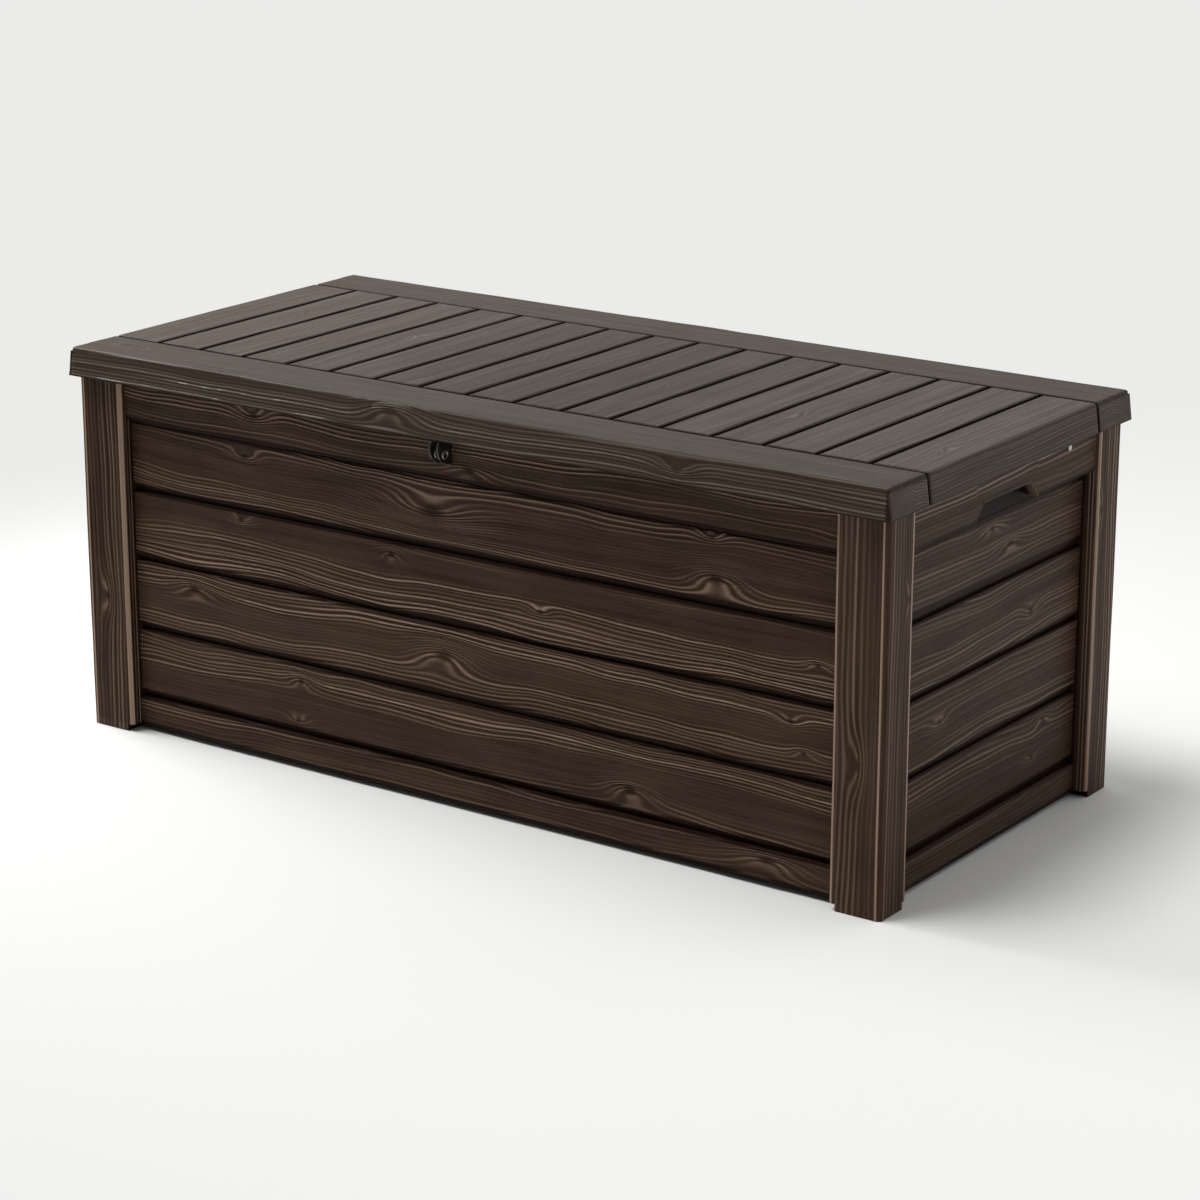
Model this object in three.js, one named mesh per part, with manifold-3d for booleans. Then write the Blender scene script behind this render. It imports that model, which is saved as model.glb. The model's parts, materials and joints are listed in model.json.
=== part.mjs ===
// Deck storage box: four corner posts, four moulded panels, a floor and a slatted lid
// on three rear hinges, with two gas struts and a padlock hasp.
// Millimetres, +Z up, front towards -Y, origin on the floor under the middle.
import * as THREE from 'three';
import { mergeVertices } from 'three/addons/utils/BufferGeometryUtils.js';
import Module from 'manifold-3d';

const wasm = await Module();
wasm.setup();

// Overall sizes of the closed box
const LID_WIDTH = 1550;          // across the lid's lower edge
const LID_DEPTH = 732;
const LID_BOTTOM = 600;          // height of the lid's lower edge
const LID_HEIGHT = 46;
const LID_FLARE = 6;             // how much the skirt widens on the way down
const LID_OVERHANG_X = 10;       // lower edge beyond the corner posts
const LID_OVERHANG_Y = 17;

// Clearances
const FIT_GAP = 0.3;             // between fixed pieces that touch
const PIVOT_GAP = 0.1;           // around a turning pin
const OPEN_PIVOT_GAP = 0.6;      // between the lid stud and the strut socket
const KNUCKLE_GAP = 0.5;         // between hinge knuckles, along the pin

// Walls
const SKIN = 4;                  // moulded wall
const SHEET = 3;                 // pressed steel

// Box shell
const FOOT_HEIGHT = 11;          // foot below the post's bevelled inner edges
const FOOT_NARROWING = 10;
const PANEL_BOTTOM = 8;
const RIM_HEIGHT = LID_BOTTOM + 11;   // top of posts and panels, inside the lid
const POST_FACE_X = 86;          // post width seen from the front
const POST_FACE_Y = 72;          // post width seen from the side
const POST_CORNER_RADIUS = 7;
const POST_BEVEL = 4.5;

// Panel relief, as depths behind the post's outer face
const PLANK_DEPTH = 26;
const RAIL_DEPTH = 22;
const FRONT_HEADER_DEPTH = 12;
const SIDE_HEADER_DEPTH = 7;
const GROOVE_DEPTH = 6;          // below the plank faces
const GROOVE_WIDTH = 8;
const HEADER_HEIGHT = 76;        // from the top plank to the rim
const PLANKS = 4;
const FIRST_GROOVE = 63;         // height of the lowest groove
const EDGE_BEVEL = 2;
const HEADER_BOTTOM = RIM_HEIGHT - HEADER_HEIGHT;
const PLANK_PITCH = (HEADER_BOTTOM - FIRST_GROOVE) / PLANKS;

// Handle pocket in each side header
const POCKET_BASE = 186;
const POCKET_TOP = 138;
const POCKET_HEIGHT = 26;

// Floor
const LEDGE_REACH = 8;
const LEDGE_END_GAP = 4;        // ledge stops short of the panel end
const FLOOR_RIB_HEIGHT = 8;
const FLOOR_RIBS_X = 9;
const FLOOR_RIBS_Y = 3;

// Lid
const SLATS = 17;
const END_SLAT_EXTRA = 10;       // each end slat is this much wider than the others
const SLAT_GROOVE_WIDTH = 9;
const SLAT_GROOVE_DEPTH = 7;
const RAIL_WIDTH = 102;          // front and rear rail, measured at the top
const RAIL_GROOVE_WIDTH = 5;
const SIDE_GROOVE_DEPTH = 2.5;   // the same groove where it runs down the side skirts
const LID_CORNER_RADIUS = 4;
const REST_RIB = 4;
const REST_RIB_INSET_X = 26;     // from the lid's lower edge to the rib's outer face
const REST_RIB_INSET_Y = 36;

// Lid beams and clips
const BEAM_OFFSET = 140;         // from the middle, to the front and to the rear
const BEAM_WIDTH = 30;
const BEAM_HEIGHT = 14;
const BEAM_WALL = 1.5;
const BEAM_END_GAP = 6;
const CLIP_LENGTH = 30;
const CLIP_WALL = 2;
const CLIP_SLATS = [-6, 0, 6];

// Hinges
const HINGE_SPACING = 480;
const HINGE_WIDTH = 70;
const HINGE_LID_KNUCKLE = 26;
const KNUCKLE_RADIUS = 7;
const HINGE_PIN_RADIUS = 3;
const HINGE_PIN_HEAD = 4.5;
const HINGE_DROP = 10;           // axis below the lid's lower edge
const HINGE_OUTSET = 1;          // axis inside the lid's rear edge
const HINGE_LEAF_HEIGHT = 52;
const HINGE_LID_LEAF_HEIGHT = 34;

// Hasp
const EAR_THICKNESS = 4;
const EAR_REACH = 6;             // beyond the lid's front edge
const BOX_EAR_X = -10;
const LID_EAR_X = -25;
const EAR_HEIGHT = 38;
const SHACKLE_HOLE_RADIUS = 5;
const SHACKLE_HOLE_BACK = 21;    // hole behind the ear's tip
const HASP_TAB = 30;

// Gas struts
const STRUT_INSET = 20;          // strut axis inside the panel's inner face
const LID_STUD_RISE = 20;        // above the hinge axis
const WALL_STUD_REACH = 223;     // in front of the hinge axis
const STUD_RADIUS = 4;
const SOCKET_RADIUS = 9;
const SOCKET_WIDTH = 12;
const CYLINDER_RADIUS = 9;
const ROD_RADIUS = 4;
const ROD_GAP = 0.4;
const CYLINDER_NECK = 34;        // top of cylinder below the lid stud
const BRACKET_HALF = 20;

// Small screws
const SCREW_HEAD_RADIUS = 5;
const SCREW_HEAD_HEIGHT = 2.4;
const HEADER_SCREW_Y = 190;
const HEADER_SCREW_DROP = 22;    // below the rim

// Values that follow from the sizes above
const HALF_LID_X = LID_WIDTH / 2;
const HALF_LID_Y = LID_DEPTH / 2;
const HALF_X = HALF_LID_X - LID_OVERHANG_X;
const HALF_Y = HALF_LID_Y - LID_OVERHANG_Y;
const LID_TOP = LID_BOTTOM + LID_HEIGHT;
const SLAT_PITCH = (LID_WIDTH - 2 * END_SLAT_EXTRA) / SLATS;
const LID_CEILING = LID_TOP - SKIN;
const GROOVE_BED = LID_TOP - SLAT_GROOVE_DEPTH - SKIN;
const RAIL_GROOVE_Y = HALF_LID_Y - LID_FLARE - RAIL_WIDTH - RAIL_GROOVE_WIDTH / 2;
const INNER_DEPTH = PLANK_DEPTH + SKIN;
const INNER_X = HALF_X - INNER_DEPTH;
const INNER_Y = HALF_Y - INNER_DEPTH;
const HINGE_Y = HALF_LID_Y - HINGE_OUTSET;
const HINGE_Z = LID_BOTTOM - HINGE_DROP;
const FLARE_SLOPE = LID_FLARE / LID_HEIGHT;
const ARC_STEPS = 10;            // points along each curved stretch of an outline

const resin = { roughness: 0.5, metalness: 0 };
const MATERIALS = {
  resin: new THREE.MeshStandardMaterial({ color: 0x3e3029, ...resin }),
  resinTop: new THREE.MeshStandardMaterial({ color: 0x6b645b, ...resin }),
  resinInside: new THREE.MeshStandardMaterial({ color: 0x2e2622, roughness: 0.6, metalness: 0 }),
  blackSteel: new THREE.MeshStandardMaterial({ color: 0x1c1f1e, roughness: 0.4, metalness: 0.6 }),
  zincSteel: new THREE.MeshStandardMaterial({ color: 0x9a9c9e, roughness: 0.35, metalness: 0.9 }),
  chrome: new THREE.MeshStandardMaterial({ color: 0xd0d3d6, roughness: 0.12, metalness: 1 }),
  blackPlastic: new THREE.MeshStandardMaterial({ color: 0x17171a, roughness: 0.5, metalness: 0 }),
};

const group = new THREE.Group();
group.name = 'deck_storage_box';

// Solids: closed geometry goes in and comes out of the boolean kernel as welded triangles.
function toSolid(geometry) {
  const plain = new THREE.BufferGeometry();
  plain.setAttribute('position', geometry.getAttribute('position').clone());
  if (geometry.index) plain.setIndex(geometry.index.clone());
  const welded = mergeVertices(plain, 1e-4);
  return new wasm.Manifold(new wasm.Mesh({
    numProp: 3,
    vertProperties: Float32Array.from(welded.getAttribute('position').array),
    triVerts: Uint32Array.from(welded.index.array),
  }));
}

function union(...geometries) {
  return fromSolid(geometries.map(toSolid).reduce((a, b) => a.add(b)));
}

function subtract(geometry, ...cutters) {
  return fromSolid(cutters.map(toSolid).reduce((a, b) => a.subtract(b), toSolid(geometry)));
}

function fromSolid(solid) {
  const mesh = solid.getMesh();
  const geometry = new THREE.BufferGeometry();
  geometry.setAttribute('position', new THREE.BufferAttribute(mesh.vertProperties, 3));
  geometry.setIndex(new THREE.BufferAttribute(mesh.triVerts, 1));
  return geometry;
}

function flipFaces(geometry) {
  const order = geometry.index.array;
  for (let i = 0; i < order.length; i += 3) {
    [order[i], order[i + 1]] = [order[i + 1], order[i]];
  }
  return geometry;
}

function indexed(geometry) {
  const plain = new THREE.BufferGeometry();
  plain.setAttribute('position', geometry.getAttribute('position').clone());
  if (geometry.index) plain.setIndex(geometry.index.clone());
  return mergeVertices(plain, 1e-4);
}

function mirrored(geometry, signX, signY = 1) {
  const copy = indexed(geometry);
  copy.scale(signX, signY, 1);
  return signX * signY < 0 ? flipFaces(copy) : copy;
}

function block(x0, x1, y0, y1, z0, z1) {
  const geometry = new THREE.BoxGeometry(x1 - x0, y1 - y0, z1 - z0);
  return geometry.translate((x0 + x1) / 2, (y0 + y1) / 2, (z0 + z1) / 2);
}

// A prism over an outline. The outline's two coordinates and the extrusion map to
// X, Y, Z so that the result is right-handed: 'x' takes (y, z), 'y' takes (x, z).
function prism(along, outline, from, to, holes = []) {
  const shape = new THREE.Shape(loop(outline, false));
  holes.forEach((hole) => shape.holes.push(new THREE.Path(loop(hole, true))));
  const geometry = new THREE.ExtrudeGeometry(shape, { depth: to - from, bevelEnabled: false });
  geometry.translate(0, 0, from);
  if (along === 'x') {
    geometry.applyMatrix4(new THREE.Matrix4().set(0, 0, 1, 0, 1, 0, 0, 0, 0, 1, 0, 0, 0, 0, 0, 1));
  } else if (along === 'y') {
    geometry.applyMatrix4(new THREE.Matrix4().set(1, 0, 0, 0, 0, 0, 1, 0, 0, 1, 0, 0, 0, 0, 0, 1));
    return flipFaces(indexed(geometry));
  }
  return indexed(geometry);
}

// Points of an outline, turned clockwise for a hole and the other way for a rim.
function loop(outline, clockwise) {
  const points = Array.isArray(outline)
    ? outline.map(([a, b]) => new THREE.Vector2(a, b))
    : outline.getPoints(ARC_STEPS);
  if (points[0].distanceTo(points[points.length - 1]) < 1e-6) points.pop();
  if (THREE.ShapeUtils.isClockWise(points) !== clockwise) points.reverse();
  return points;
}

function circlePath(a, b, radius) {
  return new THREE.Path().absarc(a, b, radius, 0, Math.PI * 2, false);
}

function rod(along, radius, from, to, centre, segments = 24) {
  const geometry = new THREE.CylinderGeometry(radius, radius, to - from, segments);
  const middle = (from + to) / 2;
  if (along === 'x') {
    return indexed(geometry.rotateZ(Math.PI / 2).translate(middle, centre[0], centre[1]));
  }
  if (along === 'y') return indexed(geometry.translate(centre[0], middle, centre[1]));
  return indexed(geometry.rotateX(Math.PI / 2).translate(centre[0], centre[1], middle));
}

function add(name, geometry, material) {
  const flat = geometry.index ? geometry.toNonIndexed() : geometry;
  flat.computeVertexNormals();
  const mesh = new THREE.Mesh(flat, material);
  mesh.name = name;
  group.add(mesh);
}

// Corner post: an open-backed column of two faces with bevelled inner edges, closed at
// the top and at the foot. Built for the front left corner, then mirrored.
function cornerPost() {
  const wallEnd = PLANK_DEPTH - FIT_GAP;
  const r = POST_CORNER_RADIUS;
  const outline = (faceX, faceY, bevel) => {
    const shape = new THREE.Shape();
    shape.moveTo(r, 0);
    shape.lineTo(faceX - bevel, 0);
    if (bevel > 0) shape.lineTo(faceX, bevel);
    shape.lineTo(faceX, wallEnd);
    return shape;
  };
  const column = outline(POST_FACE_X, POST_FACE_Y, POST_BEVEL);
  column.lineTo(POST_FACE_X - SKIN, wallEnd);
  column.lineTo(POST_FACE_X - SKIN, POST_BEVEL + SKIN / 2);
  column.lineTo(POST_FACE_X - POST_BEVEL - SKIN / 2, SKIN);
  column.lineTo(r, SKIN);
  column.absarc(r, r, r - SKIN, -Math.PI / 2, -Math.PI, true);
  column.lineTo(SKIN, POST_FACE_Y - POST_BEVEL - SKIN / 2);
  column.lineTo(POST_BEVEL + SKIN / 2, POST_FACE_Y - SKIN);
  column.lineTo(wallEnd, POST_FACE_Y - SKIN);
  column.lineTo(wallEnd, POST_FACE_Y);
  column.lineTo(POST_BEVEL, POST_FACE_Y);
  column.lineTo(0, POST_FACE_Y - POST_BEVEL);
  column.lineTo(0, r);
  column.absarc(r, r, r, Math.PI, Math.PI * 1.5, false);

  const plate = outline(POST_FACE_X, POST_FACE_Y, POST_BEVEL);
  plate.lineTo(wallEnd, wallEnd);
  plate.lineTo(wallEnd, POST_FACE_Y);
  plate.lineTo(POST_BEVEL, POST_FACE_Y);
  plate.lineTo(0, POST_FACE_Y - POST_BEVEL);
  plate.lineTo(0, r);
  plate.absarc(r, r, r, Math.PI, Math.PI * 1.5, false);

  const narrowX = POST_FACE_X - FOOT_NARROWING;
  const narrowY = POST_FACE_Y - FOOT_NARROWING;
  const far = POST_FACE_X + POST_FACE_Y;
  const footPlateTop = PANEL_BOTTOM - SHEET;
  const foot = prism('z', [
    [POST_CORNER_RADIUS, SKIN / 2], [narrowX - SKIN / 2, SKIN / 2],
    [narrowX - SKIN / 2, narrowY - SKIN / 2], [SKIN / 2, narrowY - SKIN / 2],
    [SKIN / 2, POST_CORNER_RADIUS],
  ], 0, footPlateTop);
  let post = union(
    prism('z', column, 0, RIM_HEIGHT),
    prism('z', plate, RIM_HEIGHT - SKIN, RIM_HEIGHT),
  );
  post = subtract(
    post,
    block(narrowX, far, -1, far, -1, FOOT_HEIGHT),
    block(-1, far, narrowY, far, -1, FOOT_HEIGHT),
  );
  return union(post, foot).translate(-HALF_X, -HALF_Y, 0);
}

// Panel profile in (depth behind the post face, height).
function panelProfile(headerDepth) {
  const half = GROOVE_WIDTH / 2;
  const bed = PLANK_DEPTH + GROOVE_DEPTH;
  const outer = [[RAIL_DEPTH, PANEL_BOTTOM]];
  const inner = [];
  for (let i = 0; i < PLANKS; i += 1) {
    const z = FIRST_GROOVE + i * PLANK_PITCH;
    const below = i === 0 ? RAIL_DEPTH : PLANK_DEPTH;
    outer.push([below, z - half - EDGE_BEVEL], [below + EDGE_BEVEL, z - half], [bed, z - half]);
    outer.push([bed, z + half], [PLANK_DEPTH + EDGE_BEVEL, z + half]);
    outer.push([PLANK_DEPTH, z + half + EDGE_BEVEL]);
    inner.push([INNER_DEPTH, z - half - SKIN], [bed + SKIN, z - half - SKIN]);
    inner.push([bed + SKIN, z + half + SKIN], [INNER_DEPTH, z + half + SKIN]);
  }
  outer.push([PLANK_DEPTH, HEADER_BOTTOM], [headerDepth + EDGE_BEVEL, HEADER_BOTTOM]);
  outer.push([headerDepth, HEADER_BOTTOM + EDGE_BEVEL], [headerDepth, RIM_HEIGHT - EDGE_BEVEL]);
  outer.push([headerDepth + EDGE_BEVEL, RIM_HEIGHT], [INNER_DEPTH, RIM_HEIGHT]);
  const ledgeTop = PANEL_BOTTOM + SKIN;
  const ledge = [[INNER_DEPTH, ledgeTop], [INNER_DEPTH, PANEL_BOTTOM]];
  const channel = [
    [headerDepth + SKIN, HEADER_BOTTOM + SKIN], [PLANK_DEPTH, HEADER_BOTTOM + SKIN],
    [PLANK_DEPTH, RIM_HEIGHT - SKIN], [headerDepth + SKIN, RIM_HEIGHT - SKIN],
  ];
  return { outline: [...outer, ...inner.reverse(), ...ledge], channel };
}

// A panel is made along X with its face towards -Y at depth zero.
function panel(headerDepth, halfLength, halfTongue) {
  const { outline, channel } = panelProfile(headerDepth);
  const body = prism('x', outline, -halfLength, halfLength, [channel]);
  const overlap = SKIN;
  const tongue = (side) => mirrored(
    block(halfLength - overlap, halfTongue, PLANK_DEPTH, INNER_DEPTH, PANEL_BOTTOM, RIM_HEIGHT),
    side,
  );
  const halfLedge = halfLength - LEDGE_END_GAP;
  const ledge = block(-halfLedge, halfLedge, INNER_DEPTH - SKIN / 2, INNER_DEPTH + LEDGE_REACH,
    PANEL_BOTTOM, PANEL_BOTTOM + SKIN);
  return union(body, tongue(-1), tongue(1), ledge);
}

function pocketOutline(margin) {
  const base = POCKET_BASE / 2 + margin;
  const top = POCKET_TOP / 2 + margin;
  const low = HEADER_BOTTOM;
  const high = HEADER_BOTTOM + POCKET_HEIGHT + margin;
  return [[-base, low], [base, low], [top, high], [-top, high]];
}

function sidePanel() {
  const halfLength = HALF_Y - POST_FACE_Y - FIT_GAP;
  const flat = panel(SIDE_HEADER_DEPTH, halfLength, HALF_Y - PLANK_DEPTH);
  const liner = prism('y', pocketOutline(SKIN), SIDE_HEADER_DEPTH + SKIN / 2, PLANK_DEPTH + SKIN / 2);
  const hollow = prism('y', pocketOutline(0), -1, PLANK_DEPTH);
  const mouth = block(-POCKET_BASE / 2, POCKET_BASE / 2, -1, PLANK_DEPTH,
    HEADER_BOTTOM - 1, HEADER_BOTTOM + 0.01);
  return subtract(union(flat, liner), hollow, mouth);
}

const postShape = cornerPost();
const frontHalf = HALF_X - POST_FACE_X - FIT_GAP;
const longPanel = panel(FRONT_HEADER_DEPTH, frontHalf, INNER_X - FIT_GAP);
const shortPanel = sidePanel();

add('front_panel', longPanel.clone().translate(0, -HALF_Y, 0), MATERIALS.resin);
add('rear_panel', longPanel.clone().rotateZ(Math.PI).translate(0, HALF_Y, 0), MATERIALS.resin);
add('right_panel', shortPanel.clone().rotateZ(Math.PI / 2).translate(HALF_X, 0, 0), MATERIALS.resin);
add('left_panel', shortPanel.clone().rotateZ(-Math.PI / 2).translate(-HALF_X, 0, 0), MATERIALS.resin);

for (const [rowName, signY] of [['front', 1], ['rear', -1]]) {
  for (const [sideName, signX] of [['left', 1], ['right', -1]]) {
    add(`post_${rowName}_${sideName}`, mirrored(postShape, signX, signY), MATERIALS.resin);
  }
}

// Floor: a plate on the panels' ledges, ribbed underneath.
function floorPanel() {
  const halfX = INNER_X - FIT_GAP;
  const halfY = INNER_Y - FIT_GAP;
  const plateBottom = PANEL_BOTTOM + SKIN + FIT_GAP;
  const ribX = halfX - LEDGE_REACH - SKIN;
  const ribY = halfY - LEDGE_REACH - SKIN;
  const ribBottom = plateBottom - FLOOR_RIB_HEIGHT;
  const parts = [block(-halfX, halfX, -halfY, halfY, plateBottom, plateBottom + SKIN)];
  for (let i = 0; i < FLOOR_RIBS_X; i += 1) {
    const x = -ribX + (2 * ribX * (i + 0.5)) / FLOOR_RIBS_X;
    parts.push(block(x - SKIN / 2, x + SKIN / 2, -ribY, ribY, ribBottom, plateBottom + 1));
  }
  for (let i = 0; i < FLOOR_RIBS_Y; i += 1) {
    const y = -ribY + (2 * ribY * (i + 0.5)) / FLOOR_RIBS_Y;
    parts.push(block(-ribX, ribX, y - SKIN / 2, y + SKIN / 2, ribBottom, plateBottom + 1));
  }
  return union(...parts);
}
add('floor_panel', floorPanel(), MATERIALS.resinInside);

// A closed stack of rounded rectangles, each level [height, half X, half Y, radius].
function stackedRectangles(levels) {
  const steps = 4;
  const positions = [];
  const faces = [];
  const ring = (steps + 1) * 4;
  for (const [z, halfX, halfY, radius] of levels) {
    for (let corner = 0; corner < 4; corner += 1) {
      const cx = (corner === 0 || corner === 3 ? 1 : -1) * (halfX - radius);
      const cy = (corner < 2 ? 1 : -1) * (halfY - radius);
      for (let i = 0; i <= steps; i += 1) {
        const angle = (corner + i / steps) * (Math.PI / 2);
        positions.push(cx + radius * Math.cos(angle), cy + radius * Math.sin(angle), z);
      }
    }
  }
  for (let level = 0; level + 1 < levels.length; level += 1) {
    for (let i = 0; i < ring; i += 1) {
      const a = level * ring + i;
      const b = level * ring + ((i + 1) % ring);
      faces.push(a, b, b + ring, a, b + ring, a + ring);
    }
  }
  const bottom = positions.length / 3;
  positions.push(0, 0, levels[0][0], 0, 0, levels[levels.length - 1][0]);
  const last = (levels.length - 1) * ring;
  for (let i = 0; i < ring; i += 1) {
    const next = (i + 1) % ring;
    faces.push(bottom, next, i, bottom + 1, last + i, last + next);
  }
  const geometry = new THREE.BufferGeometry();
  geometry.setAttribute('position', new THREE.BufferAttribute(new Float32Array(positions), 3));
  geometry.setIndex(faces);
  return geometry;
}

function lidInset(z) {
  return (z - LID_BOTTOM) * FLARE_SLOPE;
}

// Lid: one moulding with a flared skirt, two rails across the front and rear, slats
// between them and a rest rib that sits on the box's rim.
function lidPanel() {
  const level = (z, inset, radius) => [
    z, HALF_LID_X - inset, HALF_LID_Y - inset, radius,
  ];
  const shoulder = LID_TOP - 5;
  const outer = stackedRectangles([
    level(LID_BOTTOM, 0, LID_CORNER_RADIUS),
    level(shoulder, lidInset(shoulder), LID_CORNER_RADIUS),
    level(LID_TOP - 1.5, lidInset(LID_TOP) + 1, LID_CORNER_RADIUS),
    level(LID_TOP, lidInset(LID_TOP) + 3, LID_CORNER_RADIUS),
  ]);
  const hollow = stackedRectangles([
    level(LID_BOTTOM - 1, SKIN, 1),
    level(LID_CEILING - 5, SKIN + lidInset(LID_CEILING - 5), 1),
    level(LID_CEILING, SKIN + lidInset(LID_CEILING) + 2, 1),
  ]);
  const slatEnd = RAIL_GROOVE_Y - RAIL_GROOVE_WIDTH / 2;
  const bedHalf = SLAT_GROOVE_WIDTH / 2 + SKIN;
  const railHalf = RAIL_GROOVE_WIDTH / 2;
  const sideIn = HALF_LID_X - SKIN - LID_FLARE - 1;
  const beds = [];
  const cuts = [];
  const grooveX = [];
  for (let i = 1; i < SLATS; i += 1) grooveX.push((i - SLATS / 2) * SLAT_PITCH);
  for (const x of grooveX) {
    beds.push(block(x - bedHalf, x + bedHalf, -slatEnd, slatEnd, GROOVE_BED, LID_CEILING + 1));
    cuts.push(block(x - SLAT_GROOVE_WIDTH / 2, x + SLAT_GROOVE_WIDTH / 2, -slatEnd, slatEnd,
      LID_TOP - SLAT_GROOVE_DEPTH, LID_TOP + 1));
  }
  for (const side of [-1, 1]) {
    const y = side * RAIL_GROOVE_Y;
    beds.push(block(-sideIn, sideIn, y - railHalf - SKIN, y + railHalf + SKIN,
      GROOVE_BED, LID_CEILING + 1));
    cuts.push(block(-sideIn - SKIN, sideIn + SKIN, y - railHalf, y + railHalf,
      LID_TOP - SLAT_GROOVE_DEPTH, LID_TOP + 1));
    for (const end of [-1, 1]) {
      const slant = prism('y', [
        [HALF_LID_X - SIDE_GROOVE_DEPTH, LID_BOTTOM - 1],
        [HALF_LID_X + 2, LID_BOTTOM - 1],
        [HALF_LID_X + 2, LID_TOP + 1],
        [HALF_LID_X - SIDE_GROOVE_DEPTH - LID_FLARE - 1, LID_TOP + 1],
      ], y - railHalf, y + railHalf);
      cuts.push(mirrored(slant, end));
    }
  }
  const ribX = HALF_LID_X - REST_RIB_INSET_X;
  const ribY = HALF_LID_Y - REST_RIB_INSET_Y;
  const ribBottom = RIM_HEIGHT + FIT_GAP;
  const ribs = subtract(
    block(-ribX, ribX, -ribY, ribY, ribBottom, LID_CEILING + 1),
    block(-ribX + REST_RIB, ribX - REST_RIB, -ribY + REST_RIB, ribY - REST_RIB,
      ribBottom - 1, LID_CEILING + 2),
  );
  return subtract(union(subtract(outer, hollow), ribs, ...beds), ...cuts);
}
add('lid_panel', lidPanel(), MATERIALS.resinTop);

// Steel beams under the slats, each held by saddle clips.
const beamTop = GROOVE_BED - FIT_GAP;
const beamBottom = beamTop - BEAM_HEIGHT;
const beamHalf = HALF_LID_X - REST_RIB_INSET_X - REST_RIB - BEAM_END_GAP;
for (const [name, side] of [['front', -1], ['rear', 1]]) {
  const y = side * BEAM_OFFSET;
  const w = BEAM_WIDTH / 2;
  const tube = prism('x', [
    [y - w, beamBottom], [y + w, beamBottom], [y + w, beamTop], [y - w, beamTop],
  ], -beamHalf, beamHalf, [[
    [y - w + BEAM_WALL, beamBottom + BEAM_WALL], [y - w + BEAM_WALL, beamTop - BEAM_WALL],
    [y + w - BEAM_WALL, beamTop - BEAM_WALL], [y + w - BEAM_WALL, beamBottom + BEAM_WALL],
  ]]);
  add(`lid_beam_${name}`, tube, MATERIALS.zincSteel);
  CLIP_SLATS.forEach((slat, i) => {
    const x = slat * SLAT_PITCH;
    const inside = w + FIT_GAP;
    const outside = inside + CLIP_WALL;
    const top = LID_CEILING - FIT_GAP;
    const low = beamBottom - FIT_GAP;
    const clip = prism('x', [
      [y - outside, low - CLIP_WALL], [y + outside, low - CLIP_WALL], [y + outside, top],
      [y + inside, top], [y + inside, low], [y - inside, low], [y - inside, top],
      [y - outside, top],
    ], x - CLIP_LENGTH / 2, x + CLIP_LENGTH / 2);
    add(`beam_clip_${name}_${i + 1}`, clip, MATERIALS.blackPlastic);
  });
}

// Hinges: a box leaf with two knuckles, a lid leaf with one between them, and a pin.
function knuckle(x0, x1, arm) {
  const bore = HINGE_PIN_RADIUS + PIVOT_GAP;
  const barrel = rod('x', KNUCKLE_RADIUS, x0, x1, [HINGE_Y, HINGE_Z], 40);
  const hole = rod('x', bore, x0 - 1, x1 + 1, [HINGE_Y, HINGE_Z], 40);
  return subtract(union(barrel, prism('x', arm, x0, x1)), hole);
}

const leafY = HALF_Y - FRONT_HEADER_DEPTH + FIT_GAP;
const leafTop = HINGE_Z + KNUCKLE_RADIUS;
const skirtInner = (z) => HALF_LID_Y - SKIN - lidInset(z) - FIT_GAP;
const lidLeafBottom = LID_BOTTOM - 1;
const lidLeafTop = LID_BOTTOM + HINGE_LID_LEAF_HEIGHT;
for (const [name, step] of [['left', -1], ['middle', 0], ['right', 1]]) {
  const x = step * HINGE_SPACING;
  const half = HINGE_WIDTH / 2;
  const inner = HINGE_LID_KNUCKLE / 2 + KNUCKLE_GAP;
  const boxArm = [
    [leafY + SHEET / 2, leafTop - 14], [HINGE_Y - 2, HINGE_Z - KNUCKLE_RADIUS + 1],
    [HINGE_Y, HINGE_Z + 1], [HINGE_Y - 2, HINGE_Z + KNUCKLE_RADIUS - 1],
    [leafY + SHEET / 2, leafTop - 1],
  ];
  const boxLeaf = union(
    block(x - half, x + half, leafY, leafY + SHEET, leafTop - HINGE_LEAF_HEIGHT, leafTop),
    knuckle(x - half, x - inner, boxArm),
    knuckle(x + inner, x + half, boxArm),
  );
  add(`hinge_box_leaf_${name}`, boxLeaf, MATERIALS.blackSteel);

  const leafOuter = skirtInner(lidLeafBottom);
  const lidArm = [
    [HINGE_Y - KNUCKLE_RADIUS + 0.5, HINGE_Z - 1], [HINGE_Y - 1, HINGE_Z + KNUCKLE_RADIUS - 2],
    [leafOuter - 1, lidLeafBottom - 0.5], [leafOuter - 1, lidLeafBottom + SHEET],
    [leafOuter - SHEET, lidLeafBottom + SHEET],
  ];
  const leaf = prism('x', [
    [leafOuter - SHEET, lidLeafBottom], [leafOuter, lidLeafBottom],
    [skirtInner(lidLeafTop), lidLeafTop], [skirtInner(lidLeafTop) - SHEET, lidLeafTop],
  ], x - half, x + half);
  const lidKnuckle = knuckle(x - HINGE_LID_KNUCKLE / 2, x + HINGE_LID_KNUCKLE / 2, lidArm);
  add(`hinge_lid_leaf_${name}`, union(leaf, lidKnuckle), MATERIALS.blackSteel);

  const pinEnd = half + FIT_GAP;
  const pin = union(
    rod('x', HINGE_PIN_RADIUS, x - pinEnd - 2, x + pinEnd + 2, [HINGE_Y, HINGE_Z], 32),
    rod('x', HINGE_PIN_HEAD, x - pinEnd - 2.5, x - pinEnd, [HINGE_Y, HINGE_Z], 32),
    rod('x', HINGE_PIN_HEAD, x + pinEnd, x + pinEnd + 2.5, [HINGE_Y, HINGE_Z], 32),
  );
  add(`hinge_pin_${name}`, pin, MATERIALS.zincSteel);
}

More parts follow.
